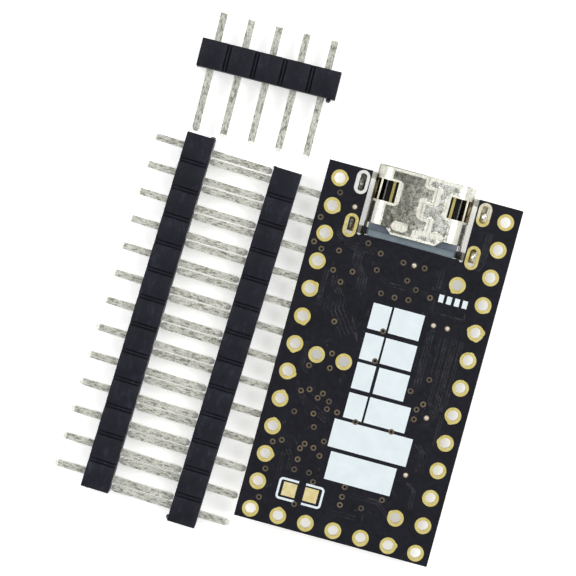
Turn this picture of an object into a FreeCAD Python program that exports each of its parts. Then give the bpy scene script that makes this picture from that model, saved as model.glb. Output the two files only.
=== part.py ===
import FreeCAD, Part
import os

import Sketcher
from FreeCAD import Placement, Rotation, Vector

# Bare-back microcontroller board with three loose pin header strips, millimetres.
# +Z leaves the bare back face, +Y points at the USB socket, and the origin is the
# centre of the two 13-hole columns on the back face. The board lies component side down.

doc = FreeCAD.newDocument("microcontroller_board")
sheet = doc.addObject("Spreadsheet::Sheet", "dims")

SIZES = {
    # board stack
    "board_wide": 17.78, "board_long": 32.8, "board_low_end": -16.18, "board_thick": 1.0,
    "mask_thick": 0.03, "corner_round": 0.25, "copper_proud": 0.01, "legend_thick": 0.02,
    # header grid and plated holes
    "pitch": 2.54, "column_count": 13, "column_reach": 7.62, "grid_reach": 15.24,
    "hole_radius": 0.48, "barrel_radius": 0.66, "pad_radius": 0.74, "pad_opening": 0.78,
    "via_hole": 0.12, "via_barrel": 0.17, "via_ring": 0.26,
    # USB socket cut-out and slots
    "notch_reach": 4.9, "notch_rear": 10.95, "relief_radius": 0.2,
    "slot_reach": 5.6, "slot_front": 15.4, "slot_rear": 11.45,
    "slot_wide": 0.65, "slot_long": 1.6, "slot_wall": 0.05, "slot_pad": 0.275, "slot_opening": 0.315,
    # USB socket
    "shell_wide": 8.94, "shell_tall": 3.26, "shell_wall": 0.3, "shell_front": 17.45,
    "shell_rear": 12.15, "shell_top": 0.56, "window_front": 16.2, "window_rear": 14.3,
    "window_inner": 2.4, "window_outer": 4.5, "seam_gap": 0.05, "seam_depth": 0.14,
    "tongue_reach": 3.35, "tongue_thick": 0.7, "tongue_front": 16.75, "insulator_front": 13.3,
    "contact_wide": 0.24, "contact_thick": 0.1, "contact_step": 0.5, "contact_count": 12,
    "contact_setback": 0.5, "tail_rear": 10.0, "tail_long": 0.7,
    "plate_thick": 0.15, "plate_reach": 3.45, "plate_rear": 11.9, "plate_long": 5.0,
    "wing_thick": 0.27, "leg_thick": 0.36, "leg_long": 1.0, "dimple_deep": 0.1,
    # loose header strips
    "housing_wide": 2.54, "housing_tall": 2.54, "pin_side": 0.64, "pin_tip": 0.36, "tip_long": 0.3,
    "pin_short": 2.87, "pin_long": 5.65, "groove_wide": 0.13, "groove_deep": 0.3,
    "web_wide": 0.17, "web_drop": 0.08, "strip_tilt": 1.82,
    "left_strip_x": -21.52, "left_strip_y": -17.31, "right_strip_x": -13.27, "right_strip_y": -18.31,
    "short_strip_x": -16.22, "short_strip_y": 22.94, "short_strip_tilt": 0.85, "short_count": 5,
    # parts soldered to the component side
    "solder_thick": 0.03, "solder_margin": 0.12,
    "mcu_side": 7.0, "mcu_tall": 0.85, "mcu_x": 1.1, "mcu_y": -4.8, "mcu_per_side": 14,
    "mcu_step": 0.4, "mcu_land_long": 0.4, "mcu_land_wide": 0.2, "mcu_land_thick": 0.2,
    "mcu_paddle": 3.2,
    "flash_long": 3.0, "flash_wide": 2.0, "flash_tall": 0.6, "flash_x": -4.6, "flash_y": 2.6,
    "flash_per_side": 4, "flash_step": 0.5, "flash_land_wide": 0.25, "flash_land_thick": 0.15,
    "crystal_long": 3.2, "crystal_wide": 2.5, "crystal_base": 0.5, "crystal_lid": 0.3,
    "crystal_x": 1.2, "crystal_y": -10.1,
    "sot_long": 2.9, "sot_wide": 1.6, "sot_tall": 1.1, "sot_span": 2.8, "lead_thick": 0.15,
    "lead_wide": 0.4, "lead_step": 0.95, "foot_long": 0.4, "stand_off": 0.08,
    "regulator_x": -4.6, "regulator_y": -9.4, "esd_array_x": -1.2, "esd_array_y": 8.0,
    "diode_long": 2.7, "diode_wide": 1.6, "diode_tall": 1.15, "diode_span": 3.7,
    "diode_lead": 0.6, "diode_foot": 0.3, "diode_x": -4.6, "diode_y": 6.9,
    "chip_metal": 0.3,
    "fuse_long": 3.2, "fuse_wide": 1.6, "fuse_tall": 0.6, "fuse_x": 2.2, "fuse_y": 7.4,
    "tantalum_long": 3.2, "tantalum_wide": 1.6, "tantalum_tall": 1.67, "tantalum_tab": 1.2,
    "tab_long": 0.6, "tab_thick": 0.12,
    "small_long": 1.0, "small_wide": 0.5, "small_tall": 0.5, "small_metal": 0.25,
    "resistor_tall": 0.3, "coat_thick": 0.05,
    "led_long": 1.6, "led_wide": 0.8, "led_base": 0.3, "lens_tall": 0.3, "lens_long": 1.0,
    # reset switch
    "switch_long": 3.0, "switch_wide": 2.4, "switch_base": 0.87, "switch_x": 1.2, "switch_y": -12.9,
    "well_radius": 0.95, "well_deep": 0.6, "dome_radius": 0.9, "dome_thick": 0.05,
    "cover_thick": 0.15, "cover_hole": 0.62, "stem_radius": 0.55, "flange_radius": 0.8,
    "flange_thick": 0.15, "stem_long": 0.65, "flange_gap": 0.05,
    "switch_end_long": 0.6, "switch_end_wide": 0.5, "switch_end_thick": 0.2, "switch_end_y": 0.75,
}

for row, (alias, number) in enumerate(SIZES.items(), 1):
    sheet.set("A%d" % row, alias)
    sheet.set("B%d" % row, str(number))
    sheet.setAlias("B%d" % row, alias)
doc.recompute()


def dim(alias):
    return float(sheet.get(alias))


PARTS = []
HIDDEN_FACE = -dim("board_thick")
SEAT = HIDDEN_FACE - dim("solder_thick")
SHELL_MIDDLE = dim("shell_top") - dim("shell_tall") / 2
REST = dim("shell_top") - dim("shell_tall")


# ---------------------------------------------------------------- sketch helpers

def new_body(label):
    body = doc.addObject("PartDesign::Body", label)
    body.Label = label
    PARTS.append(body)
    return body


def new_sketch(body, name, role, offset="0"):
    sketch = body.newObject("Sketcher::SketchObject", body.Name + "_" + name)
    plane = next(item for item in body.Origin.OriginFeatures if item.Role == role)
    sketch.AttachmentSupport = [(plane, "")]
    sketch.MapMode = "FlatFace"
    sketch.setExpression("AttachmentOffset.Base.z", offset)
    return sketch


def bind(sketch, constraint, name, formula):
    number = sketch.addConstraint(constraint)
    sketch.renameConstraint(number, name)
    sketch.setExpression("Constraints." + name, formula)


def rectangle(sketch, left, low, wide, tall):
    """A rectangle whose lower left corner and two sides follow formulas of the sheet."""
    first = sketch.GeometryCount
    corners = [Vector(1, 1, 0), Vector(3, 1, 0), Vector(3, 2, 0), Vector(1, 2, 0)]
    for side in range(4):
        sketch.addGeometry(Part.LineSegment(corners[side], corners[(side + 1) % 4]))
    make = Sketcher.Constraint
    joins = [make("Coincident", first + side, 2, first + (side + 1) % 4, 1) for side in range(4)]
    level = [make("Horizontal", first), make("Horizontal", first + 2)]
    upright = [make("Vertical", first + 1), make("Vertical", first + 3)]
    sketch.addConstraint(joins + level + upright)
    tag = "edge%d" % first
    bind(sketch, make("DistanceX", -1, 1, first, 1, 1.0), tag + "left", left)
    bind(sketch, make("DistanceY", -1, 1, first, 1, 1.0), tag + "low", low)
    bind(sketch, make("DistanceX", first, 1, first, 2, 2.0), tag + "wide", wide)
    bind(sketch, make("DistanceY", first + 1, 1, first + 1, 2, 1.0), tag + "tall", tall)


def circles(sketch, centres, radius):
    """Equal circles: the first carries the radius, the others copy it."""
    first = sketch.GeometryCount
    for x, y in centres:
        sketch.addGeometry(Part.Circle(Vector(x, y, 0), Vector(0, 0, 1), 1.0))
    make = Sketcher.Constraint
    for index in range(1, len(centres)):
        sketch.addConstraint(make("Equal", first, first + index))
    bind(sketch, make("Radius", first, 1.0), "round%d" % first, radius)


def stadium(sketch, middle, near, reach, radius, upright=False):
    """A slot outline: two half circles, whose centres lie reach to each side of the middle.

    middle holds the formulas of its centre, and near the numbers that the solver starts from.
    """
    first = sketch.GeometryCount
    make = Sketcher.Constraint
    turn = Rotation(Vector(0, 0, 1), 90 if upright else 0)

    def spot(x, y):
        return turn.multVec(Vector(x, y, 0)) + Vector(near[0], near[1], 0)

    sketch.addGeometry(Part.LineSegment(spot(-0.5, 0.4), spot(0.5, 0.4)))
    sketch.addGeometry(Part.Arc(spot(0.5, -0.4), spot(0.9, 0), spot(0.5, 0.4)))
    sketch.addGeometry(Part.LineSegment(spot(0.5, -0.4), spot(-0.5, -0.4)))
    sketch.addGeometry(Part.Arc(spot(-0.5, 0.4), spot(-0.9, 0), spot(-0.5, -0.4)))
    sketch.addConstraint([
        make("Tangent", first, 2, first + 1, 2), make("Tangent", first + 1, 1, first + 2, 1),
        make("Tangent", first + 2, 2, first + 3, 2), make("Tangent", first + 3, 1, first, 1),
        make("Equal", first + 1, first + 3),
        make("Vertical" if upright else "Horizontal", first)])
    tag = "slot%d" % first
    along, across = ("DistanceY", "DistanceX") if upright else ("DistanceX", "DistanceY")
    here, side = (1, 0) if upright else (0, 1)
    bind(sketch, make(along, -1, 1, first + 1, 3, near[here] + 0.5), tag + "far",
         "%s+%s" % (middle[here], reach))
    bind(sketch, make(along, first + 3, 3, first + 1, 3, 1.0), tag + "apart", "2*(%s)" % reach)
    bind(sketch, make(across, -1, 1, first + 1, 3, near[side]), tag + "middle", middle[side])
    bind(sketch, make("Radius", first + 1, 0.4), tag + "radius", radius)


def extrude(body, kind, sketch, length=None, flip=False, both=False):
    """Pad or Pocket a sketch; a Pocket with no length goes through everything, both ways."""
    step = body.newObject("PartDesign::" + kind, sketch.Name + "_" + kind.lower())
    step.Profile = sketch
    if length is None:
        step.Type = 1
        step.Midplane = True
    else:
        step.setExpression("Length", length)
        step.Midplane = both
    step.Reversed = flip
    body.Tip = step
    doc.recompute()
    return step


def repeat(body, step, sketch, axis, length, count, flip=False):
    pattern = body.newObject("PartDesign::LinearPattern", step.Name + "_row")
    pattern.Originals = [step]
    pattern.Direction = (sketch, [axis])
    pattern.Reversed = flip
    pattern.setExpression("Length", length)
    pattern.setExpression("Occurrences", count)
    body.Tip = pattern
    doc.recompute()
    return pattern


# ---------------------------------------------------------------- solid helpers

def feature(label, solids):
    """One node from solids made with Part's own functions."""
    item = doc.addObject("Part::Feature", label)
    item.Label = label
    item.Shape = Part.makeCompound(solids)
    item.Placement = Placement()
    PARTS.append(item)
    return item


def box(name, wide, deep, tall):
    """A Part::Box whose three sizes are formulas of the sheet."""
    item = doc.addObject("Part::Box", name)
    item.setExpression("Length", wide)
    item.setExpression("Width", deep)
    item.setExpression("Height", tall)
    return item


def box_group(label, sizes, places, top, shift=0.0):
    """Equal boxes hanging under the height top, at places (x, y, turned a quarter or not).

    shift moves each box along its own length, for the metal ends of a chip.
    """
    wide, deep, tall = sizes
    members = []
    for number in range(len(places)):
        members.append(box("%s_%d" % (label, number), wide, deep, tall))
    doc.recompute()
    for item, (x, y, turned) in zip(members, places):
        turn = Rotation(Vector(0, 0, 1), 90 if turned else 0)
        corner = Vector(shift - item.Length.Value / 2, -item.Width.Value / 2, -item.Height.Value)
        item.Placement = Placement(Vector(x, y, top) + turn.multVec(corner), turn)
    return members


def compound(label, members):
    group = doc.addObject("Part::Compound", label)
    group.Label = label
    group.Links = members
    PARTS.append(group)
    return group


def block(x, y, wide, deep, high, low, turned=False):
    """A plain solid centred at x, y between two heights."""
    if turned:
        wide, deep = deep, wide
    return Part.makeBox(wide, deep, high - low, Vector(x - wide / 2, y - deep / 2, low))


def stadium_solid(x, y, wide, long, low, high):
    """An upright slot-shaped prism, long in Y."""
    radius = wide / 2
    reach = (long - wide) / 2
    middle = Part.makeBox(wide, 2 * reach, high - low, Vector(x - radius, y - reach, low))
    ends = [Part.makeCylinder(radius, high - low, Vector(x, y + side * reach, low)) for side in (1, -1)]
    return middle.fuse(ends).removeSplitter()


def upright_edges(solid):
    return [edge for edge in solid.Edges if abs(edge.tangentAt(edge.FirstParameter).z) > 0.9]


def round_frame(left, low, right, high, line, radius, bottom, thick):
    """A thin rectangular outline with rounded corners, drawn as a solid line."""
    solids = []
    for inset in (0.0, line):
        plate = Part.makeBox(right - left - 2 * inset, high - low - 2 * inset, thick,
                             Vector(left + inset, low + inset, bottom))
        solids.append(plate.makeFillet(radius - inset, upright_edges(plate)))
    return solids[0].cut(solids[1])


# ---------------------------------------------------------------- hole positions

def header_holes():
    """Every 2.54 mm grid hole: two columns, the row between them, and four inner holes."""
    pitch, reach, end = dim("pitch"), dim("column_reach"), dim("grid_reach")
    columns = [(side * reach, end - pitch * step) for side in (-1, 1)
               for step in range(int(dim("column_count")))]
    return columns + [(pitch * step, -end) for step in (-2, -1, 0, 1, 2)] + INNER_HOLES


INNER_HOLES = [(4.95, 8.75), (-5.5, -0.45), (-3.0, -0.45), (5.08, -12.7)]

VIAS = [
    (-7.25, 14.0), (-5.65, 13.1), (-8.35, 11.45), (-8.35, 9.2), (-7.55, 8.75), (-6.0, 9.0),
    (-3.65, 10.3), (-2.35, 9.7), (-0.2, 9.45), (0.8, 9.45), (1.75, 9.45), (-2.3, 8.2), (0.55, 8.0),
    (-4.35, 7.5), (-6.05, 7.2), (1.5, 7.4), (2.9, 7.05), (-5.15, 6.35), (-1.4, 6.3), (-0.15, 6.25),
    (1.1, 6.35), (3.85, 4.75), (5.1, 4.8), (-4.75, 2.8), (-0.35, 3.1), (-0.35, 0.35), (-4.2, 0.0),
    (-4.05, -1.3), (-5.9, -1.55), (4.75, 0.0), (3.4, -1.4), (4.8, -2.25), (4.35, -2.85),
    (4.35, -3.75), (5.4, -3.35), (-5.3, -3.6), (-6.0, -3.9), (-4.05, -3.65), (-4.4, -4.15),
    (-3.35, -4.2), (-3.35, -4.9), (-2.4, -4.95), (-4.4, -5.6), (-6.1, -5.85), (-0.6, -5.35),
    (2.7, -5.35), (-4.05, -6.75), (-2.85, -7.75), (-4.45, -8.4), (-3.6, -8.55), (-4.75, -8.9),
    (-6.5, -8.6), (-7.25, -8.95), (-2.9, -9.1), (-4.7, -9.9), (-4.75, -10.85), (-3.4, -10.8),
    (-2.85, -11.5), (-7.25, -11.45), (-7.15, -14.05), (-3.95, -13.85), (0.0, -11.2), (0.0, -12.1),
    (0.0, -12.85), (1.9, -12.65), (3.5, -11.45), (4.95, -8.75),
]


# ---------------------------------------------------------------- board stack

def perforated_plate(label, low, thick, hole, via, slot_margin, windows=()):
    """One layer of the board: outline, USB cut-out, header holes, vias, slots, openings."""
    body = new_body(label)
    outline = new_sketch(body, "outline", "XY_Plane", low)
    rectangle(outline, "-dims.board_wide/2", "dims.board_low_end", "dims.board_wide", "dims.board_long")
    extrude(body, "Pad", outline, thick)
    notch = new_sketch(body, "notch", "XY_Plane")
    rectangle(notch, "-dims.notch_reach", "dims.notch_rear", "2*dims.notch_reach", "dims.board_long/4")
    extrude(body, "Pocket", notch)
    relief = new_sketch(body, "relief", "XY_Plane")
    corner_x = dim("notch_reach") - dim("relief_radius")
    corner_y = dim("notch_rear") + dim("relief_radius") / 4
    circles(relief, [(side * corner_x, corner_y) for side in (-1, 1)], "dims.relief_radius")
    extrude(body, "Pocket", relief)
    column = new_sketch(body, "column", "XY_Plane")
    reach = dim("column_reach")
    circles(column, [(side * reach, dim("grid_reach")) for side in (-1, 1)], hole)
    first_pair = extrude(body, "Pocket", column)
    repeat(body, first_pair, column, "V_Axis", "dims.pitch*(dims.column_count-1)", "dims.column_count", True)
    lone = new_sketch(body, "lone", "XY_Plane")
    lone_holes = header_holes()[2 * int(dim("column_count")):]
    circles(lone, lone_holes, hole)
    extrude(body, "Pocket", lone)
    small = new_sketch(body, "vias", "XY_Plane")
    circles(small, VIAS, via)
    extrude(body, "Pocket", small)
    slots = new_sketch(body, "slots", "XY_Plane")
    for side in ("", "-"):
        for along in ("slot_front", "slot_rear"):
            near = (float(side + "1") * dim("slot_reach"), dim(along))
            stadium(slots, (side + "dims.slot_reach", "dims." + along), near,
                    "(dims.slot_long-dims.slot_wide)/2", "dims.slot_wide/2+" + slot_margin, upright=True)
    extrude(body, "Pocket", slots)
    if windows:
        cut = new_sketch(body, "windows", "XY_Plane")
        for left, low_edge, wide, tall in windows:
            rectangle(cut, str(left), str(low_edge), str(wide), str(tall))
        extrude(body, "Pocket", cut)
    return body


# The two bare squares of the solder jumper, as left, low, wide, tall, and the bare laminate round them.
JUMPER_PADS = [(-5.32, -13.34, 1.23, 1.23), (-3.35, -13.34, 1.23, 1.23)]
JUMPER_CLEARANCE = 0.06


def board_stack():
    opening = [(x - JUMPER_CLEARANCE, y - JUMPER_CLEARANCE, wide + 2 * JUMPER_CLEARANCE,
                tall + 2 * JUMPER_CLEARANCE) for x, y, wide, tall in JUMPER_PADS]
    perforated_plate("pcb_laminate", "-dims.board_thick+dims.mask_thick",
                     "dims.board_thick-2*dims.mask_thick",
                     "dims.barrel_radius", "dims.via_barrel", "dims.slot_wall")
    perforated_plate("solder_mask_back", "-dims.mask_thick", "dims.mask_thick",
                     "dims.pad_opening", "dims.via_ring", "dims.slot_opening", opening)
    perforated_plate("solder_mask_front", "-dims.board_thick", "dims.mask_thick",
                     "dims.pad_opening", "dims.via_ring", "dims.slot_opening")


def eyelet(inner, barrel, flange, proud):
    """A plated hole: a thin barrel through the laminate with a flat ring at each end."""
    mask = dim("mask_thick")
    top, bottom = proud, HIDDEN_FACE - proud
    profile = [(inner, bottom), (flange, bottom), (flange, HIDDEN_FACE + mask), (barrel, HIDDEN_FACE + mask),
               (barrel, -mask), (flange, -mask), (flange, top), (inner, top), (inner, bottom)]
    wire = Part.makePolygon([Vector(radius, 0, height) for radius, height in profile])
    return Part.Face(wire).revolve(Vector(), Vector(0, 0, 1), 360)


def copies(solid, places):
    made = []
    for x, y in places:
        item = solid.copy()
        item.translate(Vector(x, y, 0))
        made.append(item)
    return made


def copper():
    proud, mask = dim("copper_proud"), dim("mask_thick")
    ring = eyelet(dim("hole_radius"), dim("barrel_radius"), dim("pad_radius"), proud)
    feature("plated_header_holes", copies(ring, header_holes()))
    tiny = eyelet(dim("via_hole"), dim("via_barrel"), dim("via_ring"), 0.0)
    feature("plated_vias", copies(tiny, VIAS))
    wide, long, wall, pad = dim("slot_wide"), dim("slot_long"), dim("slot_wall"), dim("slot_pad")
    solids = []
    for side in (-1, 1):
        for along in (dim("slot_front"), dim("slot_rear")):
            x = side * dim("slot_reach")
            barrel = stadium_solid(x, along, wide + 2 * wall, long + 2 * wall, HIDDEN_FACE, 0)
            rings = [stadium_solid(x, along, wide + 2 * pad, long + 2 * pad, -mask, proud),
                     stadium_solid(x, along, wide + 2 * pad, long + 2 * pad, HIDDEN_FACE - proud,
                                   HIDDEN_FACE + mask)]
            hollow = stadium_solid(x, along, wide, long, 2 * HIDDEN_FACE, -HIDDEN_FACE)
            solids.append(barrel.fuse(rings).cut(hollow).removeSplitter())
    feature("plated_usb_slots", solids)
    pads = [block(x + wide_pad / 2, y + tall_pad / 2, wide_pad, tall_pad, proud, -mask)
            for x, y, wide_pad, tall_pad in JUMPER_PADS]
    feature("jumper_pads", pads)


# Pale printed fields on the back: left, low, right, high.
FIELDS = [
    (-1.8, 3.0, -0.1, 5.35), (0.1, 3.05, 2.9, 5.4), (-1.8, 0.2, -0.1, 2.6), (0.1, 0.25, 2.95, 2.6),
    (-1.8, -2.5, -0.1, -0.1), (0.2, -2.5, 3.0, -0.1), (-1.8, -5.2, -0.1, -2.9), (0.1, -5.2, 3.85, -2.85),
    (-2.45, -8.05, 4.75, -5.5), (-2.0, -10.95, 4.05, -8.4),
]
# Four plain blocks stand beside an inner hole: left edge, low edge, wide, tall, and their step.
MARK_BLOCKS = 4
MARK_LEFT, MARK_LOW, MARK_WIDE, MARK_TALL, MARK_STEP = 3.65, 6.9, 0.45, 0.7, 0.72
# The broken outline round the solder jumper, and the gap in its long sides.
JUMPER_FRAME = (-5.78, -13.74, -1.63, -11.76)
JUMPER_GAP = (-4.03, -3.37)
FRAME_LINE, FRAME_ROUND = 0.2, 0.35
# Marks of the component side: corner lines round the microcontroller, its first-pin dot, a diode bar.
CORNER_MARGIN, CORNER_LONG, MARK_LINE, DOT_RADIUS, BAR_LONG = 0.25, 0.6, 0.12, 0.15, 1.6


def legends():
    thick = dim("legend_thick")
    solids = []
    for left, low, right, high in FIELDS:
        solids.append(Part.makeBox(right - left, high - low, thick, Vector(left, low, 0)))
    for number in range(MARK_BLOCKS):
        solids.append(Part.makeBox(MARK_WIDE, MARK_TALL, thick,
                                   Vector(MARK_LEFT + MARK_STEP * number, MARK_LOW, 0)))
    frame = round_frame(*JUMPER_FRAME, FRAME_LINE, FRAME_ROUND, 0, thick)
    gap = Part.makeBox(JUMPER_GAP[1] - JUMPER_GAP[0], 3, 1, Vector(JUMPER_GAP[0], -14, -0.5))
    solids.extend(frame.cut(gap).Solids)
    # printed fields lie over the mask only, so the vias under them stay open
    opened = []
    for solid in solids:
        reach = solid.BoundBox
        reach.enlarge(dim("via_ring"))
        near = [Part.makeCylinder(dim("via_ring"), 1, Vector(x, y, -0.5)) for x, y in VIAS
                if reach.isInside(Vector(x, y, thick / 2))]
        opened.extend(solid.cut(near).Solids if near else [solid])
    feature("legend_back", opened)

    reach = dim("mcu_side") / 2 + CORNER_MARGIN
    marks = []
    for side_x in (-1, 1):
        for side_y in (-1, 1):
            x, y = dim("mcu_x") + side_x * reach, dim("mcu_y") + side_y * reach
            corner = block(x - side_x * CORNER_LONG / 2, y, CORNER_LONG + MARK_LINE, MARK_LINE,
                           HIDDEN_FACE, HIDDEN_FACE - thick)
            leg = block(x, y - side_y * CORNER_LONG / 2, MARK_LINE, CORNER_LONG + MARK_LINE,
                        HIDDEN_FACE, HIDDEN_FACE - thick)
            marks.append(corner.fuse(leg).removeSplitter())
    first_pin = Vector(dim("mcu_x") - reach - 2 * DOT_RADIUS, dim("mcu_y") + reach - CORNER_LONG,
                       HIDDEN_FACE - thick)
    marks.append(Part.makeCylinder(DOT_RADIUS, thick, first_pin))
    bar_y = dim("diode_y") + dim("diode_span") / 2 + 2 * MARK_LINE
    marks.append(block(dim("diode_x"), bar_y, BAR_LONG, MARK_LINE, HIDDEN_FACE, HIDDEN_FACE - thick))
    feature("legend_front", marks)


# ---------------------------------------------------------------- USB socket

# The folded seam along the top of the shell: x of each straight stretch and where it ends.
SEAM = [(0.1, 16.65), (1.05, 15.0), (0.1, 13.75), (1.05, 12.75), (0.1, 12.1)]
SEAM_START = 17.5
DIMPLES = [(-1.45, 12.45), (1.98, 12.42)]
DIMPLE_REACH, DIMPLE_RADIUS = 0.4, 0.32
# Half of the rear flap of the top plate: it narrows behind the shoulders.
FLAP = [(2.75, 12.25), (2.6, 12.15), (2.0, 11.58)]
# Flat steel of the right-hand fixing wings, as inner, low, outer, high: narrow straps cross to the
# board, plates widen under it round the legs, and a brace joins the rear strap to the shell.
WINGS = {
    "straps": [(4.3, 15.9, 5.3, 16.6), (4.2, 10.95, 5.3, 11.7)],
    "plates": [(5.0, 14.6, 5.85, 16.6), (5.0, 10.95, 5.85, 12.3)],
    "braces": [(4.2, 11.6, 4.47, 12.6)],
}


def usb_shell():
    body = new_body("usb_shell")
    middle = "dims.shell_top-dims.shell_tall/2"
    outer = new_sketch(body, "outer", "XZ_Plane", "-dims.shell_front")
    stadium(outer, ("0", middle), (0, 0), "(dims.shell_wide-dims.shell_tall)/2", "dims.shell_tall/2")
    extrude(body, "Pad", outer, "dims.shell_front-dims.shell_rear")
    inner = new_sketch(body, "inner", "XZ_Plane", "-dims.shell_front")
    stadium(inner, ("0", middle), (0, 0), "(dims.shell_wide-dims.shell_tall)/2",
            "dims.shell_tall/2-dims.shell_wall")
    extrude(body, "Pocket", inner, "2*dims.shell_front", both=True)
    flap = new_sketch(body, "flap", "XY_Plane", "dims.shell_top")
    outline = FLAP + [(-x, y) for x, y in reversed(FLAP)]
    for here, there in zip(outline, outline[1:] + outline[:1]):
        flap.addGeometry(Part.LineSegment(Vector(*here, 0), Vector(*there, 0)))
    flap.addConstraint([Sketcher.Constraint("Coincident", side, 2, (side + 1) % len(outline), 1)
                        for side in range(len(outline))])
    extrude(body, "Pad", flap, "dims.shell_wall", flip=True)
    window = new_sketch(body, "window", "XY_Plane", middle)
    tall = "dims.window_front-dims.window_rear"
    wide = "dims.window_outer-dims.window_inner"
    rectangle(window, "-dims.window_outer", "dims.window_rear", wide, tall)
    rectangle(window, "dims.window_inner", "dims.window_rear", wide, tall)
    extrude(body, "Pocket", window, "dims.shell_tall", flip=True)
    seam = new_sketch(body, "seam", "XY_Plane", "dims.shell_top")
    start = SEAM_START
    for number, (x, stop) in enumerate(SEAM):
        rectangle(seam, "%s-dims.seam_gap/2" % x, str(stop), "dims.seam_gap", str(start - stop))
        start = stop
    extrude(body, "Pocket", seam, "dims.seam_depth")
    across = new_sketch(body, "seam_turns", "XY_Plane", "dims.shell_top")
    for here, there in zip(SEAM, SEAM[1:]):
        low_x = min(here[0], there[0])
        rectangle(across, "%s-dims.seam_gap/2" % low_x, "%s-dims.seam_gap/2" % here[1],
                  "%s+dims.seam_gap" % abs(here[0] - there[0]), "dims.seam_gap")
    extrude(body, "Pocket", across, "dims.seam_depth")
    stamped = new_sketch(body, "dimples", "XY_Plane", "dims.shell_top")
    for x, y in DIMPLES:
        stadium(stamped, (str(x), str(y)), (x, y), str(DIMPLE_REACH), str(DIMPLE_RADIUS))
    extrude(body, "Pocket", stamped, "dims.dimple_deep")
    seat = "-dims.board_thick-dims.solder_thick"
    for name, plates in WINGS.items():
        wings = new_sketch(body, name, "XY_Plane", seat)
        for inner_x, low, outer_x, high in plates:
            wide, tall = str(outer_x - inner_x), str(high - low)
            rectangle(wings, str(inner_x), str(low), wide, tall)
            rectangle(wings, str(-outer_x), str(low), wide, tall)
        extrude(body, "Pad", wings, "dims.wing_thick", flip=True)
    legs = new_sketch(body, "legs", "XY_Plane", seat + "-dims.wing_thick/2")
    for side in ("", "-"):
        for along in ("dims.slot_front-0.75*dims.leg_long", "dims.slot_rear-0.45*dims.leg_long"):
            rectangle(legs, side + "dims.slot_reach-dims.leg_thick/2", along, "dims.leg_thick",
                      "dims.leg_long")
    extrude(body, "Pad", legs, "dims.board_thick")
    return body


def usb_contact(x, sign, back):
    """One bent contact strip: along the tongue, back through the block, down to the board."""
    thick, wide, tail_end = dim("contact_thick"), dim("contact_wide"), dim("tail_rear")
    face = SHELL_MIDDLE + sign * dim("tongue_thick") / 2
    outer, inner = face, face - sign * thick
    tail_low = SEAT - thick
    tip = dim("tongue_front") - dim("contact_setback")
    path = [(tip, outer), (tip, inner), (back + thick, inner), (back + thick, tail_low),
            (tail_end, tail_low), (tail_end, SEAT), (back, SEAT), (back, outer), (tip, outer)]
    if sign < 0:
        path = [(tip, outer), (tip, inner), (back + thick, inner), (back + thick, SEAT),
                (tail_end, SEAT), (tail_end, tail_low), (back, tail_low), (back, outer), (tip, outer)]
    wire = Part.makePolygon([Vector(x - wide / 2, y, z) for y, z in path])
    return Part.Face(wire).extrude(Vector(wide, 0, 0))


# Where each row of contacts bends down to the board, and the slack of the block inside the shell.
UPPER_BEND, LOWER_BEND, SHELL_CLEARANCE = 11.4, 11.1, 0.01
# The steps of the moulded block behind the shell, and an ear over each rear strap, as two corners.
REAR_BLOCKS = [
    (-4.05, 11.6, -2.17, 4.05, 12.16, 0.23), (-3.95, 10.97, -1.97, 3.95, 11.62, -0.07),
    (3.9, 11.02, -1.0, 4.6, 11.67, -0.35), (-4.6, 11.02, -1.0, -3.9, 11.67, -0.35),
]


def usb_inside():
    step, count = dim("contact_step"), int(dim("contact_count"))
    places = [step * (number - (count - 1) / 2) for number in range(count)]
    upper = [usb_contact(x, 1, UPPER_BEND) for x in places]
    lower = [usb_contact(x + step / 2, -1, LOWER_BEND) for x in places[:-1]]
    plate_low = SHELL_MIDDLE - dim("plate_thick") / 2
    plate = Part.makeBox(2 * dim("plate_reach"), dim("plate_long"), dim("plate_thick"),
                         Vector(-dim("plate_reach"), dim("plate_rear"), plate_low))
    radius = dim("shell_tall") / 2 - dim("shell_wall") - SHELL_CLEARANCE
    reach = (dim("shell_wide") - dim("shell_tall")) / 2
    front, rear = dim("insulator_front"), dim("shell_rear")
    core = Part.makeBox(2 * reach, front - rear, 2 * radius, Vector(-reach, rear, SHELL_MIDDLE - radius))
    ends = [Part.makeCylinder(radius, front - rear, Vector(side * reach, rear, SHELL_MIDDLE), Vector(0, 1, 0))
            for side in (1, -1)]
    rear_blocks = []
    for left, low, bottom, right, high, top in REAR_BLOCKS:
        rear_blocks.append(Part.makeBox(right - left, high - low, top - bottom, Vector(left, low, bottom)))
    tongue = Part.makeBox(2 * dim("tongue_reach"), dim("tongue_front") - front + 0.2, dim("tongue_thick"),
                          Vector(-dim("tongue_reach"), front - 0.2, SHELL_MIDDLE - dim("tongue_thick") / 2))
    block_shape = core.fuse(ends + rear_blocks + [tongue]).removeSplitter()
    insulator = block_shape.cut(upper + lower + [plate])
    feature("usb_insulator", [max(insulator.Solids, key=lambda solid: solid.Volume)])
    feature("usb_contacts_upper", upper)
    feature("usb_contacts_lower", lower)
    feature("usb_mid_plate", [plate])


# ---------------------------------------------------------------- loose header strips

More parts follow.
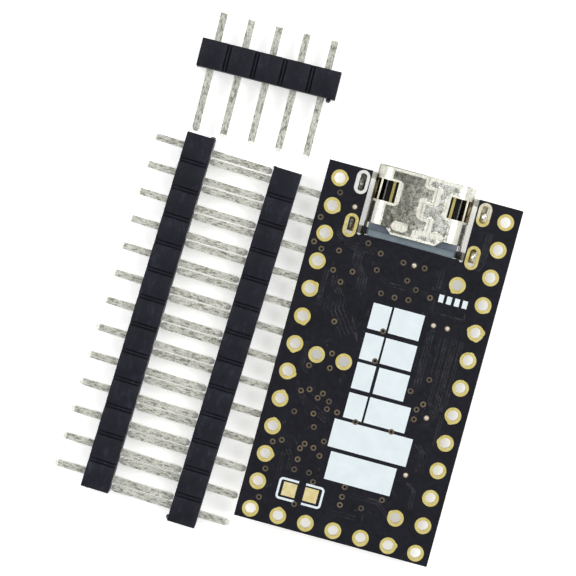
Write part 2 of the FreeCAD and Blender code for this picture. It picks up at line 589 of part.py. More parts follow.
def header_strip(name, count, place):
    """A breakaway header: a grooved plastic bar, and square pins pressed through it.

    In its own frame the long pin ends point along +X, and the bar runs along Y from 0.
    """
    length = "dims.pitch*%s" % count
    housing = new_body(name + "_header_housing")
    bar = new_sketch(housing, "bar", "XY_Plane")
    rectangle(bar, "-dims.housing_wide/2", "0", "dims.housing_wide", length)
    extrude(housing, "Pad", bar, "dims.housing_tall")
    groove = new_sketch(housing, "groove", "YZ_Plane")
    side = "dims.pitch-dims.web_wide/2-dims.groove_wide"
    for low in ("0", "dims.housing_tall-dims.groove_deep"):
        rectangle(groove, side, low, "dims.groove_wide", "dims.groove_deep")
        rectangle(groove, "dims.pitch+dims.web_wide/2", low, "dims.groove_wide", "dims.groove_deep")
    cut = extrude(housing, "Pocket", groove, "2*dims.housing_wide", both=True)
    repeat(housing, cut, groove, "H_Axis", "dims.pitch*(%s-2)" % count, "%s-1" % count)
    web = new_sketch(housing, "web", "YZ_Plane")
    for low in ("0", "dims.housing_tall-dims.web_drop"):
        rectangle(web, side, low, "dims.web_wide+2*dims.groove_wide", "dims.web_drop")
    drop = extrude(housing, "Pocket", web, "2*dims.housing_wide", both=True)
    repeat(housing, drop, web, "H_Axis", "dims.pitch*(%s-2)" % count, "%s-1" % count)
    socket = new_sketch(housing, "socket", "YZ_Plane")
    rectangle(socket, "(dims.pitch-dims.pin_side)/2", "(dims.housing_tall-dims.pin_side)/2",
              "dims.pin_side", "dims.pin_side")
    hole = extrude(housing, "Pocket", socket, "2*dims.housing_wide", both=True)
    repeat(housing, hole, socket, "H_Axis", "dims.pitch*(%s-1)" % count, count)

    pins = new_body(name + "_header_pins")
    start = "-dims.housing_wide/2-dims.pin_short"
    end = "dims.housing_wide/2+dims.pin_long"
    stations = [("tip_a", start, "pin_tip"), ("neck_a", start + "+dims.tip_long", "pin_side"),
                ("neck_b", end + "-dims.tip_long", "pin_side"), ("tip_b", end, "pin_tip")]
    sections = []
    for label, where, size in stations:
        section = new_sketch(pins, label, "YZ_Plane", where)
        rectangle(section, "(dims.pitch-dims.%s)/2" % size, "(dims.housing_tall-dims.%s)/2" % size,
                  "dims." + size, "dims." + size)
        sections.append(section)
    doc.recompute()
    loft = pins.newObject("PartDesign::AdditiveLoft", name + "_pin")
    loft.Profile = sections[0]
    loft.Sections = sections[1:]
    loft.Ruled = True
    pins.Tip = loft
    doc.recompute()
    repeat(pins, loft, sections[0], "H_Axis", "dims.pitch*(%s-1)" % count, count)
    for body in (housing, pins):
        body.Placement = place


def header_strips():
    up = Vector(0, 0, 1)
    tilt = dim("strip_tilt")
    bottom = Vector(dim("left_strip_x"), dim("left_strip_y"), REST)
    header_strip("left", "dims.column_count", Placement(bottom, Rotation(up, -tilt)))
    # the right strip points the other way, so it starts from its upper end
    length = dim("pitch") * dim("column_count")
    lean = Rotation(up, -tilt).multVec(Vector(0, length, 0))
    top = Vector(dim("right_strip_x"), dim("right_strip_y"), REST) + lean
    header_strip("right", "dims.column_count", Placement(top, Rotation(up, 180 - tilt)))
    turn = Rotation(up, -90 + dim("short_strip_tilt"))
    half = turn.multVec(Vector(0, dim("pitch") * dim("short_count") / 2, 0))
    centre = Vector(dim("short_strip_x"), dim("short_strip_y"), REST)
    header_strip("short", "dims.short_count", Placement(centre - half, turn))


# ---------------------------------------------------------------- component side

SOLDER = []
LAND_OUTREACH = 0.15
FIRST_PIN_RADIUS, FIRST_PIN_DEEP, FIRST_PIN_REACH = 0.3, 0.06, 2.7
BODY_CHAMFER = 0.12
# The crystal's lid: its margin and corner radius; and its four solder lands.
LID_MARGIN, LID_ROUND = 0.2, 0.3
CRYSTAL_LAND = (1.2, 0.9, 0.9, 0.8)


def solder_under(x, y, wide, deep, turned=False, spread=None):
    """Remember the solder film under one terminal."""
    margin = dim("solder_margin") if spread is None else spread
    SOLDER.append(block(x, y, wide + 2 * margin if not turned else deep + 2 * margin,
                        deep + 2 * margin if not turned else wide + 2 * margin,
                        HIDDEN_FACE, SEAT))


def microcontroller():
    x, y, side = dim("mcu_x"), dim("mcu_y"), dim("mcu_side")
    body = block(x, y, side, side, SEAT, SEAT - dim("mcu_tall"))
    long, wide, thick = dim("mcu_land_long"), dim("mcu_land_wide"), dim("mcu_land_thick")
    lands = [block(x, y, dim("mcu_paddle"), dim("mcu_paddle"), SEAT, SEAT - thick)]
    solder_under(x, y, dim("mcu_paddle"), dim("mcu_paddle"), spread=0.0)
    edge = (side - long) / 2
    for number in range(int(dim("mcu_per_side"))):
        shift = dim("mcu_step") * (number - (dim("mcu_per_side") - 1) / 2)
        for way in (-1, 1):
            lands.append(block(x + way * edge, y + shift, long, wide, SEAT, SEAT - thick))
            lands.append(block(x + shift, y + way * edge, wide, long, SEAT, SEAT - thick))
            solder_under(x + way * (edge + LAND_OUTREACH), y + shift, long, wide, spread=0.0)
            solder_under(x + shift, y + way * (edge + LAND_OUTREACH), wide, long, spread=0.0)
    mark = Part.makeCylinder(FIRST_PIN_RADIUS, FIRST_PIN_DEEP,
                             Vector(x - FIRST_PIN_REACH, y + FIRST_PIN_REACH, SEAT - dim("mcu_tall")))
    feature("mcu_body", [body.cut(lands + [mark])])
    feature("mcu_terminals", lands)


def flash_memory():
    x, y = dim("flash_x"), dim("flash_y")
    long, wide = dim("flash_long"), dim("flash_wide")
    land_long, land_wide, thick = dim("mcu_land_long"), dim("flash_land_wide"), dim("flash_land_thick")
    body = block(x, y, long, wide, SEAT, SEAT - dim("flash_tall"))
    lands = []
    for number in range(int(dim("flash_per_side"))):
        shift = dim("flash_step") * (number - (dim("flash_per_side") - 1) / 2)
        for way in (-1, 1):
            edge = x + way * (long - land_long) / 2
            lands.append(block(edge, y + shift, land_long, land_wide, SEAT, SEAT - thick))
            solder_under(edge + way * LAND_OUTREACH, y + shift, land_long, land_wide, spread=0.0)
    feature("flash_body", [body.cut(lands)])
    feature("flash_terminals", lands)


def crystal():
    x, y = dim("crystal_x"), dim("crystal_y")
    long, wide, base = dim("crystal_long"), dim("crystal_wide"), dim("crystal_base")
    feature("crystal_base", [block(x, y, long, wide, SEAT, SEAT - base)])
    lid = block(x, y, long - 2 * LID_MARGIN, wide - 2 * LID_MARGIN,
                SEAT - base, SEAT - base - dim("crystal_lid"))
    feature("crystal_lid", [lid.makeFillet(LID_ROUND, upright_edges(lid))])
    across, along, land_wide, land_tall = CRYSTAL_LAND
    for way_x in (-1, 1):
        for way_y in (-1, 1):
            solder_under(x + way_x * across, y + way_y * along, land_wide, land_tall, spread=0.0)


def gull_lead(out, wide, body_half, reach, foot, shoulder):
    """One bent lead along +X: from the body wall, down, and out to the foot on its solder."""
    thick = dim("lead_thick")
    path = [(body_half, shoulder), (reach - foot, shoulder), (reach - foot, SEAT - thick),
            (reach, SEAT - thick), (reach, SEAT), (reach - foot - thick, SEAT),
            (reach - foot - thick, shoulder + thick), (body_half, shoulder + thick), (body_half, shoulder)]
    wire = Part.makePolygon([Vector(px, out - wide / 2, pz) for px, pz in path])
    return Part.Face(wire).extrude(Vector(0, wide, 0))


def leaded_part(label, sizes, leads, lead, turn):
    """A moulded body on bent leads; leads lists (side, place along the body)."""
    x, y = dim(label + "_x"), dim(label + "_y")
    long, wide, tall, span = sizes
    lead_wide, foot_long = lead
    top = SEAT - dim("stand_off")
    middle = top - tall / 2
    body = block(0, 0, wide, long, top, top - tall)
    body = body.makeChamfer(BODY_CHAMFER, [edge for edge in body.Edges if edge.BoundBox.ZMax < middle])
    made = []
    for side, along in leads:
        bent = gull_lead(along, lead_wide, wide / 2, span / 2, foot_long, middle)
        if side < 0:
            bent = bent.mirror(Vector(), Vector(1, 0, 0))
        made.append(bent)
    spot = Placement(Vector(x, y, 0), Rotation(Vector(0, 0, 1), turn))
    for shape in [body] + made:
        shape.Placement = spot.multiply(shape.Placement)
    for side, along in leads:
        foot = spot.multVec(Vector(side * (span - foot_long) / 2, along, 0))
        solder_under(foot.x, foot.y, foot_long, lead_wide, turned=turn % 180 == 90, spread=0.1)
    feature(label + "_body", [body])
    feature(label + "_leads", made)


def leaded_parts():
    sot = (dim("sot_long"), dim("sot_wide"), dim("sot_tall"), dim("sot_span"))
    step, lead = dim("lead_step"), (dim("lead_wide"), dim("foot_long"))
    five = [(-1, -step), (-1, 0.0), (-1, step), (1, -step), (1, step)]
    leaded_part("regulator", sot, five, lead, 0)
    six = five + [(1, 0.0)]
    leaded_part("esd_array", sot, six, lead, 90)
    diode = (dim("diode_wide"), dim("diode_long"), dim("diode_tall"), dim("diode_span"))
    leaded_part("diode", diode, [(-1, 0.0), (1, 0.0)], (dim("diode_lead"), dim("diode_foot")), 90)


def end_shift(long, metal):
    return (dim(long) - dim(metal)) / 2


def ended_chips(body_label, end_label, sizes, metal, places):
    """Chips with a full metal cap at each end: the body between the caps, then the caps."""
    long, wide, tall = sizes
    core = "dims.%s-2*dims.%s" % (long, metal)
    compound(body_label, box_group(body_label, (core, "dims." + wide, "dims." + tall), places, SEAT))
    shift = end_shift(long, metal)
    cap = ("dims." + metal, "dims." + wide, "dims." + tall)
    caps = [item for way in (-1, 1)
            for item in box_group("%s_%s" % (end_label, "ab"[way > 0]), cap, places, SEAT, way * shift)]
    compound(end_label, caps)
    for x, y, turned in places:
        for way in (-1, 1):
            along = way * shift
            spot = (x, y + along) if turned else (x + along, y)
            solder_under(spot[0], spot[1], dim(metal), dim(wide), turned)


CAPACITORS = [
    (-3.4, -2.4, True), (-3.4, -3.9, True), (-3.4, -5.4, True), (-3.4, -6.9, True),
    (5.6, -1.6, True), (5.6, -3.2, True), (5.6, -4.8, True), (5.6, -6.4, True),
    (-1.1, -0.5, False), (0.6, -0.5, False), (2.3, -0.5, False), (4.0, -0.5, False),
    (-1.4, -9.8, True), (3.8, -10.1, True), (-4.6, -6.4, False), (-4.6, 4.4, False),
    (3.4, 5.4, False), (-1.4, 5.4, False),
]
RESISTORS = [
    (-1.4, 1.2, False), (0.3, 1.2, False), (2.0, 1.2, False), (3.7, 1.2, False),
    (-1.4, 2.8, False), (0.3, 2.8, False), (5.6, 6.1, True), (2.0, 2.8, False),
    (1.6, 9.2, False), (3.2, 9.2, False),
]
TANTALUMS = [(-4.9, -12.6, False), (5.6, -9.6, True)]
LEDS = [(5.6, 3.9, True), (5.6, 1.4, True)]


def chips():
    ended_chips("ceramic_capacitor_bodies", "ceramic_capacitor_terminals",
                ("small_long", "small_wide", "small_tall"), "small_metal", CAPACITORS)
    fuse = [(dim("fuse_x"), dim("fuse_y"), False)]
    ended_chips("fuse_body", "fuse_terminals", ("fuse_long", "fuse_wide", "fuse_tall"),
                "chip_metal", fuse)
    ended_chips("resistor_substrates", "resistor_terminals",
                ("small_long", "small_wide", "resistor_tall"), "small_metal", RESISTORS)
    coat = ("dims.small_long-2*dims.small_metal", "dims.small_wide-0.06", "dims.coat_thick")
    compound("resistor_coats", box_group("coat", coat, RESISTORS, SEAT - dim("resistor_tall")))

    solids, tabs = [], []
    for x, y, turned in TANTALUMS:
        solids.append(block(x, y, dim("tantalum_long"), dim("tantalum_wide"), SEAT,
                            SEAT - dim("tantalum_tall"), turned))
        for way in (-1, 1):
            along = way * (dim("tantalum_long") - dim("tab_long")) / 2
            spot = (x, y + along) if turned else (x + along, y)
            tabs.append(block(spot[0], spot[1], dim("tab_long"), dim("tantalum_tab"),
                              SEAT, SEAT - dim("tab_thick"), turned))
            solder_under(spot[0], spot[1], dim("tab_long"), dim("tantalum_tab"), turned)
    feature("tantalum_bodies", [solid.cut(tabs) for solid in solids])
    feature("tantalum_terminals", tabs)

    ended_chips("led_substrates", "led_terminals", ("led_long", "led_wide", "led_base"),
                "chip_metal", LEDS)
    lens = ("dims.lens_long", "dims.led_wide-0.04", "dims.lens_tall")
    compound("led_lenses", box_group("lens", lens, LEDS, SEAT - dim("led_base")))


def reset_switch():
    """A dome switch: tray, steel dome, sliding plunger and cover, seen from the component side."""
    x, y = dim("switch_x"), dim("switch_y")
    long, wide, base = dim("switch_long"), dim("switch_wide"), dim("switch_base")
    low = SEAT - base
    down = Vector(0, 0, -1)
    floor = low + dim("well_deep")
    well = Part.makeCylinder(dim("well_radius"), dim("well_deep"), Vector(x, y, floor), down)
    ends = []
    for way_x in (-1, 1):
        for way_y in (-1, 1):
            spot_x = x + way_x * (long / 2 + dim("switch_end_long") / 6)
            spot_y = y + way_y * dim("switch_end_y")
            ends.append(block(spot_x, spot_y, dim("switch_end_long"), dim("switch_end_wide"),
                              SEAT, SEAT - dim("switch_end_thick")))
            solder_under(spot_x, spot_y, dim("switch_end_long"), dim("switch_end_wide"), spread=0.1)
    feature("reset_switch_base", [block(x, y, long, wide, SEAT, low).cut([well] + ends)])
    feature("reset_switch_terminals", ends)
    dome = Part.makeCylinder(dim("dome_radius"), dim("dome_thick"), Vector(x, y, floor), down)
    feature("reset_switch_dome", [dome])
    plate = block(x, y, long, wide, low, low - dim("cover_thick"))
    hole = Part.makeCylinder(dim("cover_hole"), 1.0, Vector(x, y, low + 0.5), down)
    feature("reset_switch_cover", [plate.cut(hole)])
    top = low + dim("flange_gap") + dim("flange_thick")
    flange = Part.makeCylinder(dim("flange_radius"), dim("flange_thick"), Vector(x, y, top), down)
    stem_long = dim("flange_thick") + dim("stem_long")
    stem = Part.makeCylinder(dim("stem_radius"), stem_long, Vector(x, y, top), down)
    feature("reset_plunger", [flange.fuse(stem).removeSplitter()])


def usb_tail_solder():
    step, count = dim("contact_step"), int(dim("contact_count"))
    for number in range(count):
        x = step * (number - (count - 1) / 2)
        tails = [x, x + step / 2] if number < count - 1 else [x]
        for tail_x in tails:
            solder_under(tail_x, dim("tail_rear") + 0.4, dim("contact_wide"), dim("tail_long"), spread=0.0)


board_stack()
copper()
legends()
usb_shell()
usb_inside()
header_strips()
microcontroller()
flash_memory()
crystal()
leaded_parts()
chips()
reset_switch()
usb_tail_solder()
joined = SOLDER[0].multiFuse(SOLDER[1:]).removeSplitter()
feature("solder_joints", joined.Solids)

doc.recompute()

for item in doc.Objects:
    if "Invalid" in item.State or "Error" in item.State:
        raise RuntimeError("%s failed: %s" % (item.Name, item.State))
for item in PARTS:
    if item.Shape.isNull() or not item.Shape.isValid():
        raise RuntimeError("%s has no valid shape" % item.Label)

os.makedirs("parts", exist_ok=True)
for item in PARTS:
    item.Shape.exportStep("parts/%s.step" % item.Label)
    extent = item.Shape.BoundBox
    print("%-28s %3d solids %9.3f mm3  x %7.2f %7.2f  y %7.2f %7.2f  z %6.2f %6.2f" % (
        item.Label, len(item.Shape.Solids), item.Shape.Volume,
        extent.XMin, extent.XMax, extent.YMin, extent.YMax, extent.ZMin, extent.ZMax))
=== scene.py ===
import math
import random

import bmesh
import bpy
from mathutils import Matrix, Vector


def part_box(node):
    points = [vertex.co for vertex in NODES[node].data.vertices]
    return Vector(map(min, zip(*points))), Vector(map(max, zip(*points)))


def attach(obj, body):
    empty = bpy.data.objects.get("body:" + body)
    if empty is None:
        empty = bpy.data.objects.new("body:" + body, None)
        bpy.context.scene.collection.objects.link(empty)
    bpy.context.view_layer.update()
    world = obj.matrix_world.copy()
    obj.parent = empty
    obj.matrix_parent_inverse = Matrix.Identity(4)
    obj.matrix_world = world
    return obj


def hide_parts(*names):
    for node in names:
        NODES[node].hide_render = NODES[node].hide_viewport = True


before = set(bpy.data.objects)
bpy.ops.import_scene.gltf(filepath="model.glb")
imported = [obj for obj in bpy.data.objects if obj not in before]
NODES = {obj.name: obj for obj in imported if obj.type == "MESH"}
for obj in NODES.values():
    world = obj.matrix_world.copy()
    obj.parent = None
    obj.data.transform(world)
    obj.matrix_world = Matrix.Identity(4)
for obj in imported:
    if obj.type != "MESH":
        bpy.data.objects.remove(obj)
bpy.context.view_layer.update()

# The board lies component side down: +Z out of its bare back, +Y towards the USB socket.
# Lengths are millimetres, turned into metres by MM; the lamps and the floor are placed in metres.

MM = 0.001
FLOOR_Z = min(corner[2] for corner in (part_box("usb_shell")[0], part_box("left_header_housing")[0]))

scene = bpy.context.scene


# ------------------------------------------------------------------ camera, floor and light

CAMERA_PLACE, CAMERA_TARGET = (-6.0, 14.0, 250.0), (-9.5, 4.6, 0.0)
CAMERA_UP = (-0.261, 0.966, 0.0)

# Round studio lamps of one size, in metres and watts: name, place and power.
LAMPS = [
    ("key", (0.30, 0.12, 0.42), 1.10), ("fill", (-0.36, 0.10, 0.38), 0.94),
    ("back", (-0.05, 0.45, 0.34), 0.70), ("front", (0.05, -0.45, 0.40), 0.70),
]
LAMP_SIZE = 0.30
LAMP_TARGET, LAMP_UP = (-0.008, 0.002, 0.0), (0.0, 1.0, 0.1)

# Side of the square floor and its middle, in metres.
FLOOR_SIZE = 4.0
FLOOR_X, FLOOR_Y = -0.008, 0.003


def aim(item, target, up):
    """Turn an object's -Z towards target, with its +Y nearest to up."""
    back = (item.location - target).normalized()
    side = up.cross(back).normalized()
    item.rotation_euler = Matrix((side, back.cross(side), back)).transposed().to_euler()


def make_camera():
    data = bpy.data.cameras.new("camera")
    data.sensor_width = 36.0
    data.lens = 176.0
    data.clip_start = 0.01
    data.clip_end = 10.0
    camera = bpy.data.objects.new("camera", data)
    scene.collection.objects.link(camera)
    camera.location = Vector(CAMERA_PLACE) * MM
    aim(camera, Vector(CAMERA_TARGET) * MM, Vector(CAMERA_UP))
    scene.camera = camera


def softbox(name, place, power):
    data = bpy.data.lights.new(name, "AREA")
    data.shape = "DISK"
    data.size = LAMP_SIZE
    data.energy = power
    lamp = bpy.data.objects.new(name, data)
    scene.collection.objects.link(lamp)
    lamp.location = Vector(place)
    aim(lamp, Vector(LAMP_TARGET), Vector(LAMP_UP))


def make_stage():
    bpy.ops.mesh.primitive_grid_add(x_subdivisions=8, y_subdivisions=8, size=FLOOR_SIZE,
                                    location=(FLOOR_X, FLOOR_Y, FLOOR_Z))
    floor = bpy.context.object
    floor.name = "floor"
    floor.data.materials.append(floor_material())
    for name, place, power in LAMPS:
        softbox(name, place, power)
    world = bpy.data.worlds.new("studio")
    scene.world = world
    world.use_nodes = True
    background = world.node_tree.nodes["Background"]
    background.inputs["Color"].default_value = (0.94, 0.97, 1.0, 1.0)
    background.inputs["Strength"].default_value = 0.36
    scene.view_settings.view_transform = "Standard"


# ------------------------------------------------------------------ material helpers

class Paint:
    """A node material: a few shorthand calls for textures that drive one Principled shader."""

    def __init__(self, name, **sockets):
        self.material = bpy.data.materials.new(name)
        self.material.use_nodes = True
        self.tree = self.material.node_tree
        self.shader = self.tree.nodes["Principled BSDF"]
        for socket, value in sockets.items():
            self.shader.inputs[socket.replace("_", " ")].default_value = value
        coordinates = self.tree.nodes.new("ShaderNodeTexCoord")
        self.place = coordinates.outputs["Object"]
        self.normal = coordinates.outputs["Normal"]

    def link(self, source, target):
        self.tree.links.new(source, target)

    def stretch(self, scale):
        node = self.tree.nodes.new("ShaderNodeMapping")
        node.inputs["Scale"].default_value = scale
        self.link(self.place, node.inputs["Vector"])
        return node.outputs["Vector"]

    def noise(self, size_mm, detail=3.0, rough=0.55, stretch=(1.0, 1.0, 1.0)):
        """Noise whose features are about size_mm across."""
        node = self.tree.nodes.new("ShaderNodeTexNoise")
        node.inputs["Scale"].default_value = 1.0 / (size_mm * MM)
        node.inputs["Detail"].default_value = detail
        node.inputs["Roughness"].default_value = rough
        self.link(self.stretch(stretch), node.inputs["Vector"])
        return node.outputs["Fac"]

    def ramp(self, source, *stops):
        """Map a value through stops of (position, colour or grey)."""
        node = self.tree.nodes.new("ShaderNodeValToRGB")
        ramp = node.color_ramp
        while len(ramp.elements) < len(stops):
            ramp.elements.new(0.5)
        for element, (position, colour) in zip(ramp.elements, stops):
            element.position = position
            if isinstance(colour, float):
                colour = (colour, colour, colour)
            element.color = (*colour, 1.0)
        self.link(source, node.inputs["Fac"])
        return node.outputs["Color"]

    def mix(self, factor, first, second, kind="MIX"):
        node = self.tree.nodes.new("ShaderNodeMix")
        node.data_type = "RGBA"
        node.blend_type = kind
        for socket, value in ((node.inputs["Factor"], factor), (node.inputs["A"], first),
                              (node.inputs["B"], second)):
            if isinstance(value, (int, float)):
                socket.default_value = value
            else:
                self.link(value, socket)
        return node.outputs["Result"]

    def maths(self, kind, first, second):
        node = self.tree.nodes.new("ShaderNodeMath")
        node.operation = kind
        for socket, value in zip(node.inputs, (first, second)):
            if isinstance(value, (int, float)):
                socket.default_value = value
            else:
                self.link(value, socket)
        return node.outputs["Value"]

    def axes(self):
        node = self.tree.nodes.new("ShaderNodeSeparateXYZ")
        self.link(self.place, node.inputs["Vector"])
        return node.outputs["X"], node.outputs["Y"], node.outputs["Z"]

    def step(self, value, start, end, kind="LINEAR"):
        """0 at start and before it, 1 at end and past it; end may be the smaller of the two."""
        node = self.tree.nodes.new("ShaderNodeMapRange")
        node.interpolation_type = kind
        node.inputs["From Min"].default_value = start
        node.inputs["From Max"].default_value = end
        self.link(value, node.inputs["Value"])
        return node.outputs["Result"]

    def facing_up(self):
        """The upward part of the surface's own direction: 1 on a level top, 0 on a wall."""
        node = self.tree.nodes.new("ShaderNodeSeparateXYZ")
        self.link(self.normal, node.inputs["Vector"])
        return node.outputs["Z"]

    def inside(self, across, along, middle, half, rounding, soft_mm=0.05):
        """1 inside a round-cornered rectangle, 0 outside it; all sizes in millimetres."""
        squares = []
        for value, centre, reach in zip((across, along), middle, half):
            distance = self.maths("ABSOLUTE", self.maths("SUBTRACT", value, centre * MM), 0.0)
            beyond = self.maths("SUBTRACT", distance, (reach - rounding) * MM)
            squares.append(self.maths("POWER", self.maths("MAXIMUM", beyond, 0.0), 2.0))
        edge = self.maths("SQRT", self.maths("ADD", squares[0], squares[1]), 0.0)
        return self.step(edge, (rounding + soft_mm) * MM, (rounding - soft_mm) * MM, "SMOOTHSTEP")

    def any_of(self, masks):
        """1 wherever one of the masks is 1."""
        total = masks[0]
        for mask in masks[1:]:
            total = self.maths("MAXIMUM", total, mask)
        return total

    def metal(self, source):
        self.link(source, self.shader.inputs["Metallic"])

    def colour(self, source):
        self.link(source, self.shader.inputs["Base Color"])

    def rough(self, source):
        self.link(source, self.shader.inputs["Roughness"])

    def bump(self, source, depth_mm):
        """Relief for the surface, on top of any relief it already has."""
        node = self.tree.nodes.new("ShaderNodeBump")
        node.inputs["Distance"].default_value = depth_mm * MM
        self.link(source, node.inputs["Height"])
        if self.shader.inputs["Normal"].links:
            self.link(self.shader.inputs["Normal"].links[0].from_socket, node.inputs["Normal"])
        self.link(node.outputs["Normal"], self.shader.inputs["Normal"])


def floor_material():
    paint = Paint("pale_floor", Roughness=0.9)
    paint.shader.inputs["Emission Color"].default_value = (1.0, 1.0, 1.0, 1.0)
    paint.shader.inputs["Emission Strength"].default_value = 0.45
    paint.colour(paint.ramp(paint.noise(90.0), (0.3, 0.90), (0.7, 0.93)))
    return paint.material


def solder_mask():
    """Black lacquer with a faint blue cast, orange peel and a few dust-fine scuffs."""
    paint = Paint("black_solder_mask", IOR=1.47, Specular_IOR_Level=0.40)
    cloud = paint.noise(2.6, 4.0)
    paint.colour(paint.ramp(cloud, (0.35, (0.0030, 0.0031, 0.0064)),
                            (0.7, (0.0062, 0.0063, 0.0118))))
    paint.rough(paint.ramp(paint.noise(0.5, 5.0), (0.3, 0.24), (0.75, 0.40)))
    paint.bump(paint.noise(0.22, 2.0), 0.004)
    return paint.material


def laminate():
    """Glass-fibre board: resin with woven glass, seen on the cut edges as thin layers."""
    paint = Paint("glass_fibre_laminate", IOR=1.5)
    layers = paint.noise(0.9, 2.0, stretch=(1.0, 1.0, 9.0))
    fibre = paint.noise(0.10, 2.0, stretch=(0.3, 0.3, 2.0))
    shade = paint.mix(0.5, layers, fibre)
    paint.colour(paint.ramp(shade, (0.35, (0.012, 0.010, 0.008)), (0.55, (0.035, 0.030, 0.022)),
                            (0.72, (0.085, 0.075, 0.055))))
    paint.rough(paint.ramp(fibre, (0.3, 0.5), (0.7, 0.8)))
    paint.bump(fibre, 0.01)
    return paint.material


# Tones of the gold plating.
DEEP_GOLD, MID_GOLD, PALE_GOLD = (0.64, 0.515, 0.135), (0.73, 0.62, 0.22), (0.80, 0.71, 0.33)
# Rings of the fixing slots that solder has wetted, and one it has only brushed: middle, half sizes,
# corner radius and soft edge. BRUSHED_SHARE is how far the brushed one turns silver.
WETTED_RING = ((-5.60, 15.40), (0.85, 1.30), 0.4, 0.12)
BRUSHED_RING, BRUSHED_SHARE = ((5.50, 15.90), (0.75, 0.90), 0.4, 0.25), 0.55


def gold(name, shade=1.0, paleness=1.0):
    """Immersion gold over rough copper: pale, satin, a little uneven; paleness lifts the blue."""
    paint = Paint(name, Metallic=0.4)
    cloud = paint.noise(0.7, 4.0)
    tones = [(0.3, DEEP_GOLD), (0.55, MID_GOLD), (0.8, PALE_GOLD)]
    paint.colour(paint.ramp(cloud, *[(stop, (shade * red, shade * green, shade * paleness * blue))
                                     for stop, (red, green, blue) in tones]))
    paint.rough(paint.ramp(paint.noise(0.25, 4.0), (0.3, 0.30), (0.75, 0.48)))
    paint.bump(paint.noise(0.06, 2.0), 0.003)
    return paint.material


def slot_plating():
    """The fixing slots: gold, but silvery on two rings that solder has reached."""
    paint = Paint("slot_plating", Metallic=0.4)
    across, along, _ = paint.axes()
    wetted = paint.inside(across, along, *WETTED_RING)
    brushed = paint.inside(across, along, *BRUSHED_RING)
    cloud = paint.noise(0.5, 4.0)
    yellow = paint.ramp(cloud, (0.3, DEEP_GOLD), (0.8, PALE_GOLD))
    silver = paint.ramp(cloud, (0.3, (0.80, 0.79, 0.74)), (0.7, (0.92, 0.91, 0.87)))
    solder_film = paint.maths("ADD", wetted, paint.maths("MULTIPLY", brushed, BRUSHED_SHARE))
    paint.colour(paint.mix(solder_film, yellow, silver))
    paint.rough(paint.ramp(paint.noise(0.25, 4.0), (0.3, 0.26), (0.75, 0.44)))
    paint.bump(paint.noise(0.09, 2.0), 0.004)
    return paint.material


def masked_copper():
    """Copper rings round the vias, seen brown through a thin film of lacquer."""
    paint = Paint("masked_copper", Metallic=0.2, IOR=1.47)
    paint.shader.inputs["Coat Weight"].default_value = 0.6
    paint.shader.inputs["Coat Roughness"].default_value = 0.2
    cloud = paint.noise(1.9, 2.0)
    paint.colour(paint.ramp(cloud, (0.35, (0.060, 0.046, 0.030)), (0.65, (0.17, 0.125, 0.072))))
    paint.rough(paint.ramp(paint.noise(0.2, 3.0), (0.3, 0.35), (0.7, 0.55)))
    return paint.material


def legend_ink():
    """Pale blue-white screen ink: matt, slightly thin and speckled in places."""
    paint = Paint("legend_ink", IOR=1.45)
    cloud = paint.noise(1.4, 4.0)
    speck = paint.ramp(paint.noise(0.11, 3.0), (0.22, 0.86), (0.34, 1.0))
    base = paint.ramp(cloud, (0.3, (0.685, 0.755, 0.775)), (0.7, (0.755, 0.82, 0.835)))
    paint.colour(paint.mix(1.0, base, speck, "MULTIPLY"))
    paint.rough(paint.ramp(cloud, (0.3, 0.62), (0.7, 0.8)))
    paint.bump(paint.noise(0.09, 3.0), 0.004)
    return paint.material


def plated_steel():
    """Nickel-plated sheet steel on the small parts: clouded and pitted."""
    paint = Paint("nickel_plated_steel", Metallic=1.0)
    cloud = paint.noise(2.4, 5.0, 0.65)
    speck = paint.ramp(paint.noise(0.22, 4.0, 0.7), (0.36, 0.42), (0.52, 1.0))
    base = paint.ramp(cloud, (0.36, (0.42, 0.40, 0.36)), (0.52, (0.66, 0.64, 0.59)),
                      (0.68, (0.86, 0.84, 0.79)))
    paint.colour(paint.mix(0.75, base, speck, "MULTIPLY"))
    paint.rough(paint.ramp(paint.noise(0.35, 4.0), (0.3, 0.20), (0.7, 0.42)))
    paint.bump(paint.noise(0.30, 4.0, 0.7), 0.012)
    return paint.material


# Painted highlights, on zones of the socket shell that also have a real burnish: middle, half sizes
# and corner radius. The first table follows the folded seam and the stamped hollows; the second
# holds
# for both sides: window rims, shoulders and the front lip.
SEAM_HIGHLIGHTS = [
    ((0.12, 16.80), (0.23, 0.46), 0.20), ((0.62, 16.46), (0.44, 0.14), 0.12),
    ((1.15, 15.86), (0.28, 0.88), 0.27), ((0.62, 15.05), (0.44, 0.13), 0.11),
    ((0.07, 14.50), (0.29, 0.95), 0.28), ((0.60, 13.63), (0.44, 0.16), 0.14),
    ((1.12, 13.10), (0.27, 0.80), 0.26), ((1.36, 12.36), (1.05, 0.18), 0.16),
    ((0.12, 12.12), (0.29, 0.42), 0.24), ((-1.42, 12.42), (0.74, 0.40), 0.38),
    ((2.00, 12.44), (0.58, 0.30), 0.28),
]
SIDE_HIGHLIGHTS = [
    ((3.20, 15.22), (1.20, 1.15), 0.38), ((3.54, 13.15), (0.46, 1.10), 0.10),
    ((3.54, 16.75), (0.46, 0.52), 0.10), ((1.90, 17.26), (2.30, 0.11), 0.06),
    ((2.40, 11.90), (0.34, 0.14), 0.08), ((1.00, 11.66), (1.10, 0.08), 0.06),
    ((4.30, 16.85), (0.30, 0.55), 0.10),
]
# The wings beside the shell, painted as a highlight; the depth inside each window, painted dark as
# shade; and the wall past a window's outer rim, painted with brown-tinted shade.
WING_HIGHLIGHT = ((4.85, 13.80), (0.42, 3.20), 0.10)
WINDOW_SHADE = ((3.12, 15.22), (0.90, 1.20), 0.05)
WALL_SHADE = ((4.24, 15.30), (0.24, 1.15), 0.05)
# The bands show on the shell's top and fade out between these heights.
BAND_LOW, BAND_HIGH = -0.5, -0.2
# Painted shade and light: the plain steel turns from its dark to its pale side between these places,
# which wander a little.
SHADE_START, SHADE_END, SHADE_WANDER = -3.0, 2.4, 1.5


